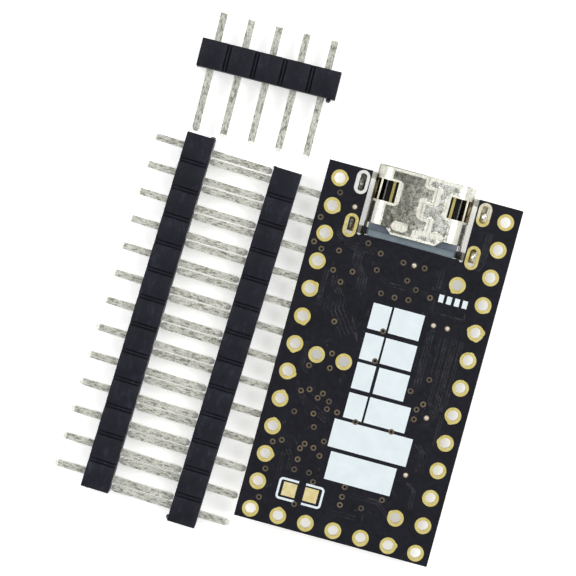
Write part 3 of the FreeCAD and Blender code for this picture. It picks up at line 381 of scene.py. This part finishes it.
def shell_steel():
    """The socket shell: mottled nickel, painted darker on one side as shade, painted shade inside
    the windows, and painted cream highlights on its folds and rims, which also have a real burnish.
    """
    paint = Paint("shell_steel")
    across, along, height = paint.axes()
    mirrored = paint.maths("ABSOLUTE", across, 0.0)
    seam = [paint.inside(across, along, *band) for band in SEAM_HIGHLIGHTS]
    sides = [paint.inside(mirrored, along, *band) for band in SIDE_HIGHLIGHTS]
    on_top = paint.step(height, BAND_LOW * MM, BAND_HIGH * MM)
    # Painted highlight: the bands are painted bright on the shell's top, the wing band at every
    # height.
    bright = paint.maths("MULTIPLY", paint.any_of(seam + sides), on_top)
    bright = paint.maths("MAXIMUM", bright, paint.inside(mirrored, along, *WING_HIGHLIGHT))
    below = paint.maths("SUBTRACT", 1.0, on_top)
    # Painted shade below the top: dark inside each window, brown-tinted on the wall past its outer
    # rim.
    hollow = paint.maths("MULTIPLY", paint.inside(mirrored, along, *WINDOW_SHADE), below)
    wall = paint.maths("MULTIPLY", paint.inside(mirrored, along, *WALL_SHADE), below)
    # The painted highlight, mottled by noise.
    highlight_mottle = paint.ramp(paint.noise(0.35, 4.0), (0.25, 0.80), (0.5, 1.0))
    highlight_and_burnish = paint.maths("MULTIPLY", bright, highlight_mottle)

    # Painted shade across the shell: darker towards one side, paler towards the other.
    wander = paint.maths("MULTIPLY", paint.noise(3.0, 2.0), SHADE_WANDER * MM)
    slope = paint.step(paint.maths("ADD", across, wander), SHADE_START * MM, SHADE_END * MM)
    side = paint.ramp(slope, (0.30, (0.30, 0.295, 0.245)), (0.62, (0.52, 0.51, 0.43)),
                      (0.85, (0.90, 0.89, 0.78)))
    blots = paint.ramp(paint.noise(0.42, 5.0, 0.72), (0.34, 0.35), (0.48, 0.85), (0.62, 1.40))
    pits = paint.ramp(paint.noise(0.13, 3.0, 0.75), (0.36, 0.35), (0.47, 0.95), (0.62, 1.25))
    base = paint.mix(1.0, paint.mix(0.9, side, blots, "MULTIPLY"), pits, "MULTIPLY")
    brushed = paint.noise(0.22, 3.0, stretch=(1.0, 0.25, 1.0))
    polish_and_highlight = paint.ramp(brushed, (0.32, (0.66, 0.64, 0.53)), (0.48, (0.84, 0.82, 0.71)),
                          (0.66, (0.93, 0.92, 0.84)))
    shade = paint.mix(1.0, paint.ramp(hollow, (0.2, 1.0), (0.8, 0.10)),
                      paint.ramp(wall, (0.2, 1.0), (0.8, (0.30, 0.24, 0.16))), "MULTIPLY")
    paint.colour(paint.mix(1.0, paint.mix(highlight_and_burnish, base, polish_and_highlight), shade, "MULTIPLY"))
    # Where the highlight is painted, most of the metal is taken away so the bands stay bright under
    # any lamp.
    paint.metal(paint.maths("SUBTRACT", 0.95, paint.maths("MULTIPLY", highlight_and_burnish, 0.78)))
    paint.rough(paint.mix(highlight_and_burnish, paint.ramp(paint.noise(0.35, 4.0), (0.3, 0.24), (0.7, 0.44)),
                          paint.ramp(paint.noise(0.2, 3.0), (0.3, 0.18), (0.7, 0.32))))
    paint.bump(paint.noise(0.18, 4.0, 0.7), 0.012)
    paint.bump(bright, 0.05)
    return paint.material


def spring_steel():
    """Cream-bright rolled steel of the latch springs."""
    paint = Paint("spring_steel", Metallic=0.3)
    rolled = paint.noise(0.2, 3.0, stretch=(1.0, 0.2, 1.0))
    paint.colour(paint.ramp(rolled, (0.35, (0.60, 0.55, 0.40)), (0.60, (0.82, 0.78, 0.62))))
    paint.rough(paint.ramp(rolled, (0.3, 0.22), (0.7, 0.36)))
    return paint.material


# The moulded block behind the shell and its low rear step, where a reflection is painted: middle,
# half sizes and corner radius.
BLOCK_ZONE = ((0.0, 11.60), (4.08, 0.72), 0.06)
STEP_ZONE = ((0.0, 11.26), (3.96, 0.30), 0.06)


def block_with_reflection():
    """The socket's moulded block: black plastic with a painted blue-grey reflection behind the
    shell, a paler painted reflection on its step, dark elsewhere.
    """
    paint = Paint("socket_polymer", IOR=1.5, Specular_IOR_Level=0.25)
    across, along, _ = paint.axes()
    step = paint.inside(across, along, *STEP_ZONE)
    body = paint.inside(across, along, *BLOCK_ZONE)
    cloud = paint.noise(1.1, 4.0)
    dark = paint.ramp(cloud, (0.3, (0.002, 0.002, 0.003)), (0.7, (0.005, 0.005, 0.007)))
    # Painted reflection of the light above on the black plastic: blue-grey on the block, paler on
    # the step.
    blue_reflection = paint.ramp(cloud, (0.3, (0.085, 0.100, 0.125)), (0.7, (0.130, 0.150, 0.180)))
    pale = paint.ramp(cloud, (0.3, (0.150, 0.190, 0.215)), (0.7, (0.215, 0.265, 0.290)))
    paint.colour(paint.mix(step, paint.mix(body, dark, blue_reflection), pale))
    paint.rough(paint.ramp(paint.noise(0.4, 4.0), (0.3, 0.38), (0.7, 0.55)))
    paint.bump(paint.noise(0.07, 3.0, 0.7), 0.008)
    return paint.material


# How far a facet looks up or down: 0 on a wall, 1 on a level face. The tilted facets of the pins'
# tips lie between; their painted highlight fades in from wall to tilt and out again from tilt to
# level.
WALL_END, TILT_START, TILT_END, LEVEL_START = 0.10, 0.30, 0.85, 0.97


def tinned_pin(name, stretch):
    """Tin on a drawn square wire: grainy grey with long scratches, and a pale painted highlight on
    the tips.
    """
    paint = Paint(name)
    streak = paint.noise(0.13, 4.0, 0.65, stretch)
    grain = paint.noise(0.10, 3.0, 0.7)
    blot = paint.noise(0.8, 3.0, 0.6)
    base = paint.ramp(streak, (0.36, (0.22, 0.215, 0.18)), (0.46, (0.68, 0.67, 0.57)),
                      (0.56, (0.97, 0.96, 0.86)))
    speck = paint.ramp(grain, (0.36, 0.45), (0.50, 1.0))
    rubbed = paint.mix(0.5, base, speck, "MULTIPLY")
    body = paint.mix(0.6, rubbed, paint.ramp(blot, (0.35, 0.62), (0.60, 1.0)), "MULTIPLY")
    # Painted highlight: the tilted facets of the tips are painted near white and lose most of their
    # metal.
    level = paint.maths("ABSOLUTE", paint.facing_up(), 0.0)
    facet = paint.maths("MULTIPLY", paint.step(level, LEVEL_START, TILT_END),
                        paint.step(level, WALL_END, TILT_START))
    tip_highlight = paint.ramp(grain, (0.3, (0.93, 0.92, 0.85)), (0.6, (1.0, 0.995, 0.95)))
    paint.colour(paint.mix(facet, body, tip_highlight))
    paint.metal(paint.maths("SUBTRACT", 0.62, paint.maths("MULTIPLY", facet, 0.58)))
    paint.rough(paint.ramp(streak, (0.3, 0.45), (0.7, 0.26)))
    paint.bump(grain, 0.006)
    return paint.material


def moulded_black(name, tint, roughness, grain_mm=0.05, grain_deep=0.006, shine=0.5):
    """Glass-filled black plastic with a fine spark-eroded grain."""
    paint = Paint(name, IOR=1.5, Specular_IOR_Level=shine)
    cloud = paint.noise(1.7, 4.0)
    low, high = (tuple(factor * value for value in tint) for factor in (0.6, 1.25))
    scuff = paint.ramp(paint.noise(0.45, 5.0, 0.75, (1.0, 0.4, 1.0)), (0.52, 1.0), (0.72, 2.8))
    paint.colour(paint.mix(1.0, paint.ramp(cloud, (0.3, low), (0.7, high)), scuff, "MULTIPLY"))
    paint.rough(paint.ramp(paint.noise(0.4, 4.0), (0.3, roughness - 0.12), (0.7, roughness + 0.10)))
    paint.bump(paint.noise(grain_mm, 3.0, 0.7), grain_deep)
    return paint.material


def dull_metal(name, tint, roughness=0.35):
    """Tin or solder on small terminals."""
    paint = Paint(name, Metallic=1.0)
    cloud = paint.noise(0.25, 3.0)
    dark = tuple(0.75 * value for value in tint)
    paint.colour(paint.ramp(cloud, (0.3, dark), (0.7, tint)))
    paint.rough(paint.ramp(paint.noise(0.15, 3.0), (0.3, roughness - 0.1), (0.7, roughness + 0.12)))
    paint.bump(paint.noise(0.08, 2.0), 0.006)
    return paint.material


def ceramic(name, low, high):
    """Fired ceramic or cast resin with soft speckle."""
    paint = Paint(name, IOR=1.55)
    paint.colour(paint.ramp(paint.noise(0.18, 4.0), (0.3, low), (0.7, high)))
    paint.rough(paint.ramp(paint.noise(0.3, 3.0), (0.3, 0.35), (0.7, 0.55)))
    paint.bump(paint.noise(0.05, 2.0), 0.004)
    return paint.material


def lens_resin():
    """Milky yellow resin of the lamps."""
    paint = Paint("lens_resin", IOR=1.52)
    paint.shader.inputs["Coat Weight"].default_value = 0.5
    paint.shader.inputs["Subsurface Weight"].default_value = 0.2
    paint.colour(paint.ramp(paint.noise(0.3, 2.0), (0.3, (0.78, 0.70, 0.36)),
                            (0.7, (0.86, 0.80, 0.52))))
    paint.rough(paint.ramp(paint.noise(0.2, 2.0), (0.3, 0.18), (0.7, 0.3)))
    return paint.material


# ------------------------------------------------------------------ mesh helpers

# Vertices nearer than this are one vertex.
MERGE_GAP = 0.0005
# Degrees by which the surface turns at an edge: below FLAT_EDGE it is one flat face, above
# SHARP_EDGE the edge is softened.
FLAT_EDGE, SHARP_EDGE = 0.5, 28.0


def dress(item, material, angle=30.0):
    """One material on every face, and smooth shading below the given angle."""
    item.data.materials.clear()
    item.data.materials.append(material)
    for polygon in item.data.polygons:
        polygon.material_index = 0
        polygon.use_smooth = True
    item.data.set_sharp_from_angle(angle=math.radians(angle))


def add_piece(name, bm, body, material, angle=30.0):
    """Finish a mesh drawn in millimetres as a piece that rides on a body."""
    bmesh.ops.recalc_face_normals(bm, faces=bm.faces)
    bm.transform(Matrix.Scale(MM, 4))
    mesh = bpy.data.meshes.new(name)
    bm.to_mesh(mesh)
    bm.free()
    item = bpy.data.objects.new(name, mesh)
    scene.collection.objects.link(item)
    dress(item, material, angle)
    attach(item, body)
    return item


def refined(node, name, body, material, bevel, segments=2, smooth=40.0):
    """A copy of a CAD node in clean faces with softened edges, which stands for that node.

    The bevel is in millimetres and the smoothing limit in degrees.
    """
    bm = bmesh.new()
    bm.from_mesh(NODES[node].data)
    bm.transform(Matrix.Scale(1 / MM, 4))
    bmesh.ops.remove_doubles(bm, verts=bm.verts, dist=MERGE_GAP)
    bmesh.ops.dissolve_limit(bm, angle_limit=math.radians(FLAT_EDGE), verts=bm.verts,
                             edges=bm.edges)
    edges = [edge for edge in bm.edges if len(edge.link_faces) == 2
             and edge.calc_face_angle(0.0) > math.radians(SHARP_EDGE)]
    bmesh.ops.bevel(bm, geom=edges, offset=bevel, offset_type="OFFSET", segments=segments,
                    profile=0.5, affect="EDGES", clamp_overlap=True)
    bmesh.ops.dissolve_degenerate(bm, dist=MERGE_GAP, edges=bm.edges)
    item = add_piece(name, bm, body, material, smooth)
    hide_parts(node)
    return item


def repaint(nodes, material):
    for node in nodes:
        dress(NODES[node], material)


# ------------------------------------------------------------------ the board's back

# A raised track: its width at the foot and its height, its flat top as a share of the width, and
# the limit that keeps its outer corner short where it turns sharply.
TRACK_WIDE, TRACK_HIGH = 0.13, 0.007
TRACK_TOP, MITRE_LIMIT = 0.62, 0.5


def ribbon(bm, points):
    """A raised track: a flat-topped strip with sloping sides along a bent line."""
    spots = [Vector((x, y, 0.0)) for x, y in points]
    rows = []
    for index, spot in enumerate(spots):
        before = (spot - spots[index - 1]).normalized() if index else None
        after = (spots[index + 1] - spot).normalized() if index + 1 < len(spots) else None
        heading = ((before or after) + (after or before)).normalized()
        across = Vector((-heading.y, heading.x, 0.0))
        reach = TRACK_WIDE / 2 / max(MITRE_LIMIT, heading.dot(after or before))
        section = []
        for side, height in ((-1.0, 0.0), (-TRACK_TOP, TRACK_HIGH), (TRACK_TOP, TRACK_HIGH),
                             (1.0, 0.0)):
            corner = spot + across * reach * side
            corner.z = height
            section.append(bm.verts.new(corner))
        rows.append(section)
    for near, far in zip(rows, rows[1:]):
        for step in range(3):
            bm.faces.new((near[step], near[step + 1], far[step + 1], far[step]))
        bm.faces.new((near[3], near[0], far[0], far[3]))
    bm.faces.new(rows[0])
    bm.faces.new(list(reversed(rows[-1])))


def bus(points, count, step_x, step_y=0.0):
    """Parallel tracks, each shifted from the last."""
    return [[(x + number * step_x, y + number * step_y) for x, y in points]
            for number in range(count)]


def back_tracks():
    """Routes of the raised tracks on the bare back, in groups."""
    routes = []
    routes += bus([(3.55, 4.1), (3.55, -1.0)], 3, 0.24)
    routes += bus([(5.15, 3.9), (5.15, -2.0), (5.55, -2.4)], 2, 0.22)
    routes += bus([(5.75, 4.2), (5.75, -3.0), (5.15, -3.9), (4.6, -4.4)], 3, 0.22, -0.05)
    routes += bus([(6.55, 4.0), (6.55, -5.6)], 2, 0.22)
    routes += [[(4.75, 3.9), (4.75, 0.4)], [(3.3, 7.0), (3.3, 5.9), (6.4, 5.9)]]
    routes += bus([(-6.7, 7.1), (-6.7, 3.8)], 2, 0.26)
    routes += bus([(-5.9, 6.9), (-5.9, 6.0), (-5.2, 5.2)], 3, 0.3)
    routes += bus([(-4.6, 9.4), (-4.6, 8.3), (-3.7, 7.2), (-3.7, 6.2)], 4, 0.24)
    routes += bus([(-5.3, 4.5), (-5.3, 3.6), (-3.8, 1.6)], 4, 0.3, 0.2)
    routes += bus([(-3.4, 3.6), (-2.6, 2.4)], 3, 0.12, -0.35)
    routes += bus([(-6.65, 0.5), (-6.65, -1.7), (-6.1, -2.3)], 2, 0.24)
    routes += bus([(-6.6, 10.9), (-5.4, 10.0), (-2.9, 10.0)], 3, 0.0, -0.26)
    routes += bus([(-1.9, 7.9), (-1.2, 7.4), (2.6, 7.4)], 2, 0.0, -0.28)
    routes += bus([(3.2, 9.9), (3.2, 8.0), (3.8, 7.9)], 2, 0.28)
    routes += bus([(6.3, 13.9), (6.3, 11.3), (6.0, 10.4)], 3, 0.22)
    routes += [[(-6.9, -8.1), (-5.6, -8.1), (-5.1, -8.6)]]
    routes += bus([(-6.2, -9.6), (-6.2, -12.2)], 2, 0.26)
    routes += bus([(-5.7, -9.2), (-5.2, -9.8), (-5.2, -11.0)], 2, -0.24, -0.1)
    routes += [[(-2.6, -10.1), (-2.6, -11.1)]]
    routes += bus([(-6.6, -3.1), (-5.5, -4.4), (-3.2, -5.5)], 3, 0.0, -0.3)
    routes += bus([(0.5, -11.6), (3.1, -11.6), (4.6, -12.9)], 2, 0.0, -0.3)
    routes += bus([(5.0, -5.9), (5.7, -6.6), (5.7, -8.3)], 3, 0.24)
    routes += bus([(5.2, -9.4), (5.9, -10.0), (5.9, -11.6)], 2, 0.24)
    routes += bus([(-1.0, -13.5), (1.6, -13.5)], 2, 0.0, -0.3)
    return routes


def track_lacquer():
    """The same black lacquer where it thins over the tracks: paler strokes that come and go."""
    paint = Paint("track_lacquer", IOR=1.47, Specular_IOR_Level=0.40)
    fade = paint.noise(1.1, 3.0, 0.6)
    fleck = paint.noise(0.3, 3.0, 0.7)
    tone = paint.ramp(fade, (0.47, (0.0045, 0.0046, 0.0080)), (0.62, (0.026, 0.026, 0.032)))
    paint.colour(paint.mix(0.8, tone, paint.ramp(fleck, (0.40, 0.25), (0.60, 1.3)), "MULTIPLY"))
    paint.rough(paint.ramp(fade, (0.3, 0.40), (0.7, 0.28)))
    return paint.material


# Stray strokes: how many, the seed they are drawn from, where they are scattered, their headings in
# degrees and how far these vary, and half their length.
STRAY_STROKES, STRAY_SEED = 150, 5
STRAY_X, STRAY_Y = (-6.7, 6.7), (-14.0, 10.4)
STRAY_HEADINGS, STRAY_TURN = (0, 45, 90, 90, 135), 6
STRAY_REACH = (0.10, 0.34)


def stray_strokes():
    """Short bits of track scattered between the vias."""
    draw = random.Random(STRAY_SEED)
    routes = []
    for _ in range(STRAY_STROKES):
        x, y = draw.uniform(*STRAY_X), draw.uniform(*STRAY_Y)
        heading = draw.choice(STRAY_HEADINGS) + draw.uniform(-STRAY_TURN, STRAY_TURN)
        heading = math.radians(heading)
        reach = draw.uniform(*STRAY_REACH)
        side, rise = reach * math.cos(heading), reach * math.sin(heading)
        routes.append([(x - side, y - rise), (x + side, y + rise)])
    return routes


# The step a route is cut into, and the room left round the middle of a via and of a header pad.
ROUTE_STEP, VIA_GAP, PAD_GAP = 0.15, 0.36, 0.86


def clear_of(routes, centres, gap):
    """Break the routes wherever they come within gap of a centre."""
    pieces = []
    for route in routes:
        spots = [route[0]]
        for (x0, y0), (x1, y1) in zip(route, route[1:]):
            parts = max(1, math.ceil(math.hypot(x1 - x0, y1 - y0) / ROUTE_STEP))
            spots += [(x0 + (x1 - x0) * part / parts, y0 + (y1 - y0) * part / parts)
                      for part in range(1, parts + 1)]
        run = []
        for spot in spots:
            if all(math.dist(spot, centre) > gap for centre in centres):
                run.append(spot)
                continue
            pieces.append(run)
            run = []
        pieces.append(run)
    return [piece for piece in pieces if len(piece) > 1]


def track_relief():
    routes = clear_of(back_tracks() + stray_strokes(), node_centres("plated_vias"), VIA_GAP)
    routes = clear_of(routes, node_centres("plated_header_holes"), PAD_GAP)
    bm = bmesh.new()
    for route in routes:
        ribbon(bm, route)
    add_piece("back_track_relief", bm, "board", track_lacquer(), angle=20.0)


# Header pads whose copper runs out into a short spur: x, y, heading in degrees, length.
SPURS = [
    (-7.62, 15.24, 10, 0.10), (-7.62, 12.70, -20, 0.14), (-7.62, 5.08, 45, 0.22),
    (-7.62, 2.54, -65, 0.16), (-7.62, 0.0, -92, 0.17), (-7.62, -2.54, -12, 0.18),
    (-7.62, -5.08, 80, 0.18), (-7.62, -7.62, 88, 0.10), (-7.62, -10.16, 3, 0.14),
    (-5.08, -15.24, 90, 0.12), (5.08, -15.24, 15, 0.16), (7.62, -5.08, 178, 0.10),
    (7.62, -2.54, -100, 0.16), (7.62, 2.54, 72, 0.10), (7.62, 5.08, 15, 0.16),
    (7.62, 5.08, -70, 0.12), (7.62, 5.08, 165, 0.14), (7.62, 7.62, -35, 0.08),
    (4.95, 8.75, -112, 0.14), (5.08, -12.7, 145, 0.12),
]
# Every spur's length is scaled by SPUR_GROWTH. It grows out of its pad's ring, from a root a little
# inside the ring's edge. Its corners in order: degrees from its heading, and the share of its
# length at that corner, or None at the root.
SPUR_GROWTH = 0.65
RING_RADIUS, ROOT_RADIUS = 0.74, 0.97 * 0.74
SPUR_CORNERS = [(-44, None), (-30, None), (-9, 0.86), (0, 1.0), (9, 0.86), (30, None), (44, None)]
SPUR_LOW, SPUR_HIGH = 0.001, 0.012


def spur_outline(x, y, heading, length):
    outline = []
    for degrees, share in SPUR_CORNERS:
        angle = math.radians(heading) + math.radians(degrees)
        reach = RING_RADIUS + SPUR_GROWTH * length * share if share else ROOT_RADIUS
        outline.append((x + reach * math.cos(angle), y + reach * math.sin(angle)))
    return outline


def pad_spurs(material):
    """Small gold wedges on the pads, a hair above their rings."""
    bm = bmesh.new()
    for spur in SPURS:
        outline = spur_outline(*spur)
        lower = [bm.verts.new((x, y, SPUR_LOW)) for x, y in outline]
        upper = [bm.verts.new((x, y, SPUR_HIGH)) for x, y in outline]
        bm.faces.new(upper)
        bm.faces.new(list(reversed(lower)))
        for index in range(len(outline)):
            after = (index + 1) % len(outline)
            bm.faces.new((lower[index], lower[after], upper[after], upper[index]))
    add_piece("pad_spurs", bm, "board", material)


# Vias closed with a bright bead of metal.
FILLED_VIAS = [(-5.65, 13.1), (0.8, 9.45), (3.85, 4.75), (5.1, 4.8), (5.4, -3.35), (4.95, -8.75)]
# The beads, and the lacquer plugs inside every via.
BEAD = {"bottom": -0.02, "radius": 0.20, "height": 0.08, "around": 28, "rings": 8}
PLUG = {"bottom": -0.16, "radius": 0.125, "height": 0.05, "around": 12, "rings": 2}


def dome(bm, x, y, bottom, radius, height, around, rings):
    """A low round bead standing on bottom."""
    rows = []
    for ring in range(rings):
        tilt = math.pi / 2 * ring / rings
        row = [bm.verts.new((x + radius * math.cos(tilt) * math.cos(2 * math.pi * step / around),
                             y + radius * math.cos(tilt) * math.sin(2 * math.pi * step / around),
                             bottom + height * math.sin(tilt))) for step in range(around)]
        rows.append(row)
    top = bm.verts.new((x, y, bottom + height))
    for near, far in zip(rows, rows[1:]):
        for step in range(around):
            after = (step + 1) % around
            bm.faces.new((near[step], near[after], far[after], far[step]))
    for step in range(around):
        bm.faces.new((rows[-1][step], rows[-1][(step + 1) % around], top))
    bm.faces.new(list(reversed(rows[0])))


def via_beads(material):
    bm = bmesh.new()
    for x, y in FILLED_VIAS:
        dome(bm, x, y, **BEAD)
    add_piece("via_beads", bm, "board", material, angle=60.0)


def node_centres(node):
    """Middles, in millimetres, of the separate solids that one CAD node is made of."""
    bm = bmesh.new()
    bm.from_mesh(NODES[node].data)
    bmesh.ops.remove_doubles(bm, verts=bm.verts, dist=MERGE_GAP * MM)
    centres, seen = [], set()
    for start in bm.verts:
        if start in seen:
            continue
        group, waiting = [], [start]
        seen.add(start)
        while waiting:
            vertex = waiting.pop()
            group.append(vertex.co)
            for edge in vertex.link_edges:
                other = edge.other_vert(vertex)
                if other not in seen:
                    seen.add(other)
                    waiting.append(other)
        low = [min(spot[axis] for spot in group) for axis in (0, 1)]
        high = [max(spot[axis] for spot in group) for axis in (0, 1)]
        centres.append(((low[0] + high[0]) / 2 / MM, (low[1] + high[1]) / 2 / MM))
    bm.free()
    return centres


def via_plugs(material):
    """The lacquer that closes every via a little under its rim."""
    bm = bmesh.new()
    for x, y in node_centres("plated_vias"):
        dome(bm, x, y, **PLUG)
    add_piece("via_plugs", bm, "board", material)


# Latch springs of the socket, seen through the shell's windows: across, along and height, each as
# low and high, and the rounding of their edges; the other side is its mirror image.
LATCH_SPRING = ((3.82, 3.98), (14.15, 16.35), (0.02, 0.20))
LATCH_ROUNDING = 0.04


def latch_springs(material):
    """A strip of spring steel under the outer part of each window."""
    (near, far), (rear, front), (low, high) = LATCH_SPRING
    bm = bmesh.new()
    for side in (-1.0, 1.0):
        made = bmesh.ops.create_cube(bm, size=1.0)["verts"]
        middle = Vector((side * (near + far) / 2, (rear + front) / 2, (low + high) / 2))
        for vertex in made:
            vertex.co = Vector((vertex.co.x * (far - near), vertex.co.y * (front - rear),
                                vertex.co.z * (high - low))) + middle
    bmesh.ops.bevel(bm, geom=list(bm.edges), offset=LATCH_ROUNDING, offset_type="OFFSET",
                    segments=2, profile=0.5, affect="EDGES", clamp_overlap=True)
    add_piece("latch_springs", bm, "board", material, angle=40.0)


# Torn plastic where each bar was snapped from a longer one: x, y, half sizes in x and y. All share
# a middle height and a half height, and each point moves in or out by up to NUB_RAGGED.
NUBS = {
    "left": [(-19.42, 15.66, 0.22, 0.16), (-22.25, -17.24, 0.26, 0.14),
             (-20.38, -17.30, 0.12, 0.12)],
    "right": [(-14.50, -18.02, 0.22, 0.20), (-12.25, -18.28, 0.24, 0.06),
              (-13.40, 14.66, 0.20, 0.12)],
    "short": [(-10.42, 21.62, 0.22, 0.22), (-22.42, 21.62, 0.10, 0.14)],
}
NUB_MIDDLE, NUB_REACH, NUB_RAGGED = -1.1, 0.85, 0.16


def break_nubs(side, material):
    """Small ragged lumps at the ends of a bar."""
    bm = bmesh.new()
    draw = random.Random(len(side))
    for x, y, reach_x, reach_y in NUBS[side]:
        made = bmesh.ops.create_icosphere(bm, subdivisions=3, radius=1.0)["verts"]
        for vertex in made:
            swell = 1.0 + draw.uniform(-NUB_RAGGED, NUB_RAGGED)
            vertex.co = Vector((x + vertex.co.x * reach_x * swell,
                                y + vertex.co.y * reach_y * swell,
                                NUB_MIDDLE + vertex.co.z * NUB_REACH * swell))
    add_piece(side + "_break_nubs", bm, side + "_header_strip", material,
              angle=40.0)


# ------------------------------------------------------------------ assembly of the looks

make_camera()
make_stage()

mask = solder_mask()
gold_plate = gold("gold_plating")
steel = plated_steel()
ink = legend_ink()
black_bar = moulded_black("header_polymer", (0.0078, 0.0084, 0.0145), roughness=0.50,
                          grain_mm=0.09, grain_deep=0.012, shine=0.22)
switch_black = moulded_black("switch_polymer", (0.02, 0.02, 0.022), roughness=0.45)
compound = moulded_black("moulding_compound", (0.022, 0.022, 0.024), roughness=0.55,
                         grain_mm=0.06, grain_deep=0.008)
terminal = dull_metal("tinned_terminal", (0.80, 0.80, 0.78))
solder = dull_metal("bright_solder", (0.84, 0.85, 0.86), roughness=0.28)
bead = dull_metal("via_bead", (0.80, 0.72, 0.60), roughness=0.60)

repaint(["solder_mask_back", "solder_mask_front"], mask)
repaint(["pcb_laminate"], laminate())
repaint(["plated_vias"], masked_copper())
repaint(["plated_header_holes"], gold_plate)
repaint(["usb_contacts_upper", "usb_contacts_lower"], gold("contact_gold", shade=1.25))
repaint(["jumper_pads"], gold("thick_gold_plating", shade=1.18, paleness=1.5))
repaint(["plated_usb_slots"], slot_plating())
repaint(["legend_back", "legend_front"], ink)
repaint(["usb_mid_plate", "reset_switch_dome"], steel)
track_relief()
pad_spurs(gold_plate)
via_beads(bead)
via_plugs(mask)
latch_springs(spring_steel())

refined("usb_shell", "usb_shell_skin", "board", shell_steel(),
        bevel=0.10, segments=3)
refined("usb_insulator", "usb_insulator_block", "board", block_with_reflection(), bevel=0.04)

for side in ("left", "right", "short"):
    body = side + "_header_strip"
    refined(side + "_header_housing", side + "_header_bar", body, black_bar,
            bevel=0.035)
    along_y = side == "short"
    wire = tinned_pin(side + "_tinned_wire", (1.0, 0.3, 1.0) if along_y else (0.3, 1.0, 1.0))
    refined(side + "_header_pins", side + "_header_wires", body, wire,
            bevel=0.02, segments=1, smooth=12.0)
    break_nubs(side, black_bar)

for node in ("mcu_body", "flash_body", "regulator_body", "esd_array_body", "diode_body"):
    refined(node, node.replace("_body", "_package"), "board", compound,
            bevel=0.03)
refined("resistor_coats", "resistor_glaze", "board", compound, bevel=0.012)
refined("tantalum_bodies", "tantalum_cases", "board",
        ceramic("tantalum_yellow", (0.62, 0.36, 0.06), (0.76, 0.50, 0.12)), bevel=0.06)
refined("fuse_body", "fuse_strip", "board",
        ceramic("fuse_green", (0.03, 0.15, 0.07), (0.06, 0.24, 0.11)), bevel=0.03)
refined("ceramic_capacitor_bodies", "ceramic_capacitor_blocks", "board",
        ceramic("capacitor_ceramic", (0.38, 0.25, 0.14), (0.50, 0.35, 0.21)), bevel=0.02)
white = ceramic("white_ceramic", (0.72, 0.70, 0.66), (0.86, 0.84, 0.80))
refined("resistor_substrates", "resistor_chips", "board", white, bevel=0.01)
refined("crystal_base", "crystal_tray", "board", white, bevel=0.04)
refined("led_substrates", "led_chips", "board", white, bevel=0.02)
refined("led_lenses", "led_caps", "board", lens_resin(), bevel=0.06, segments=3)
refined("crystal_lid", "crystal_cap", "board", steel, bevel=0.06)
refined("reset_switch_cover", "reset_switch_plate", "board", steel,
        bevel=0.03)
refined("reset_switch_base", "reset_switch_tray", "board", switch_black,
        bevel=0.03)
refined("reset_plunger", "reset_button", "reset_plunger", switch_black,
        bevel=0.06, segments=3)
for node in ("mcu_terminals", "flash_terminals", "regulator_leads", "esd_array_leads",
             "diode_leads", "ceramic_capacitor_terminals", "fuse_terminals", "resistor_terminals",
             "tantalum_terminals", "led_terminals", "reset_switch_terminals"):
    refined(node, node + "_tinned", "board", terminal, bevel=0.015)
repaint(["solder_joints"], solder)
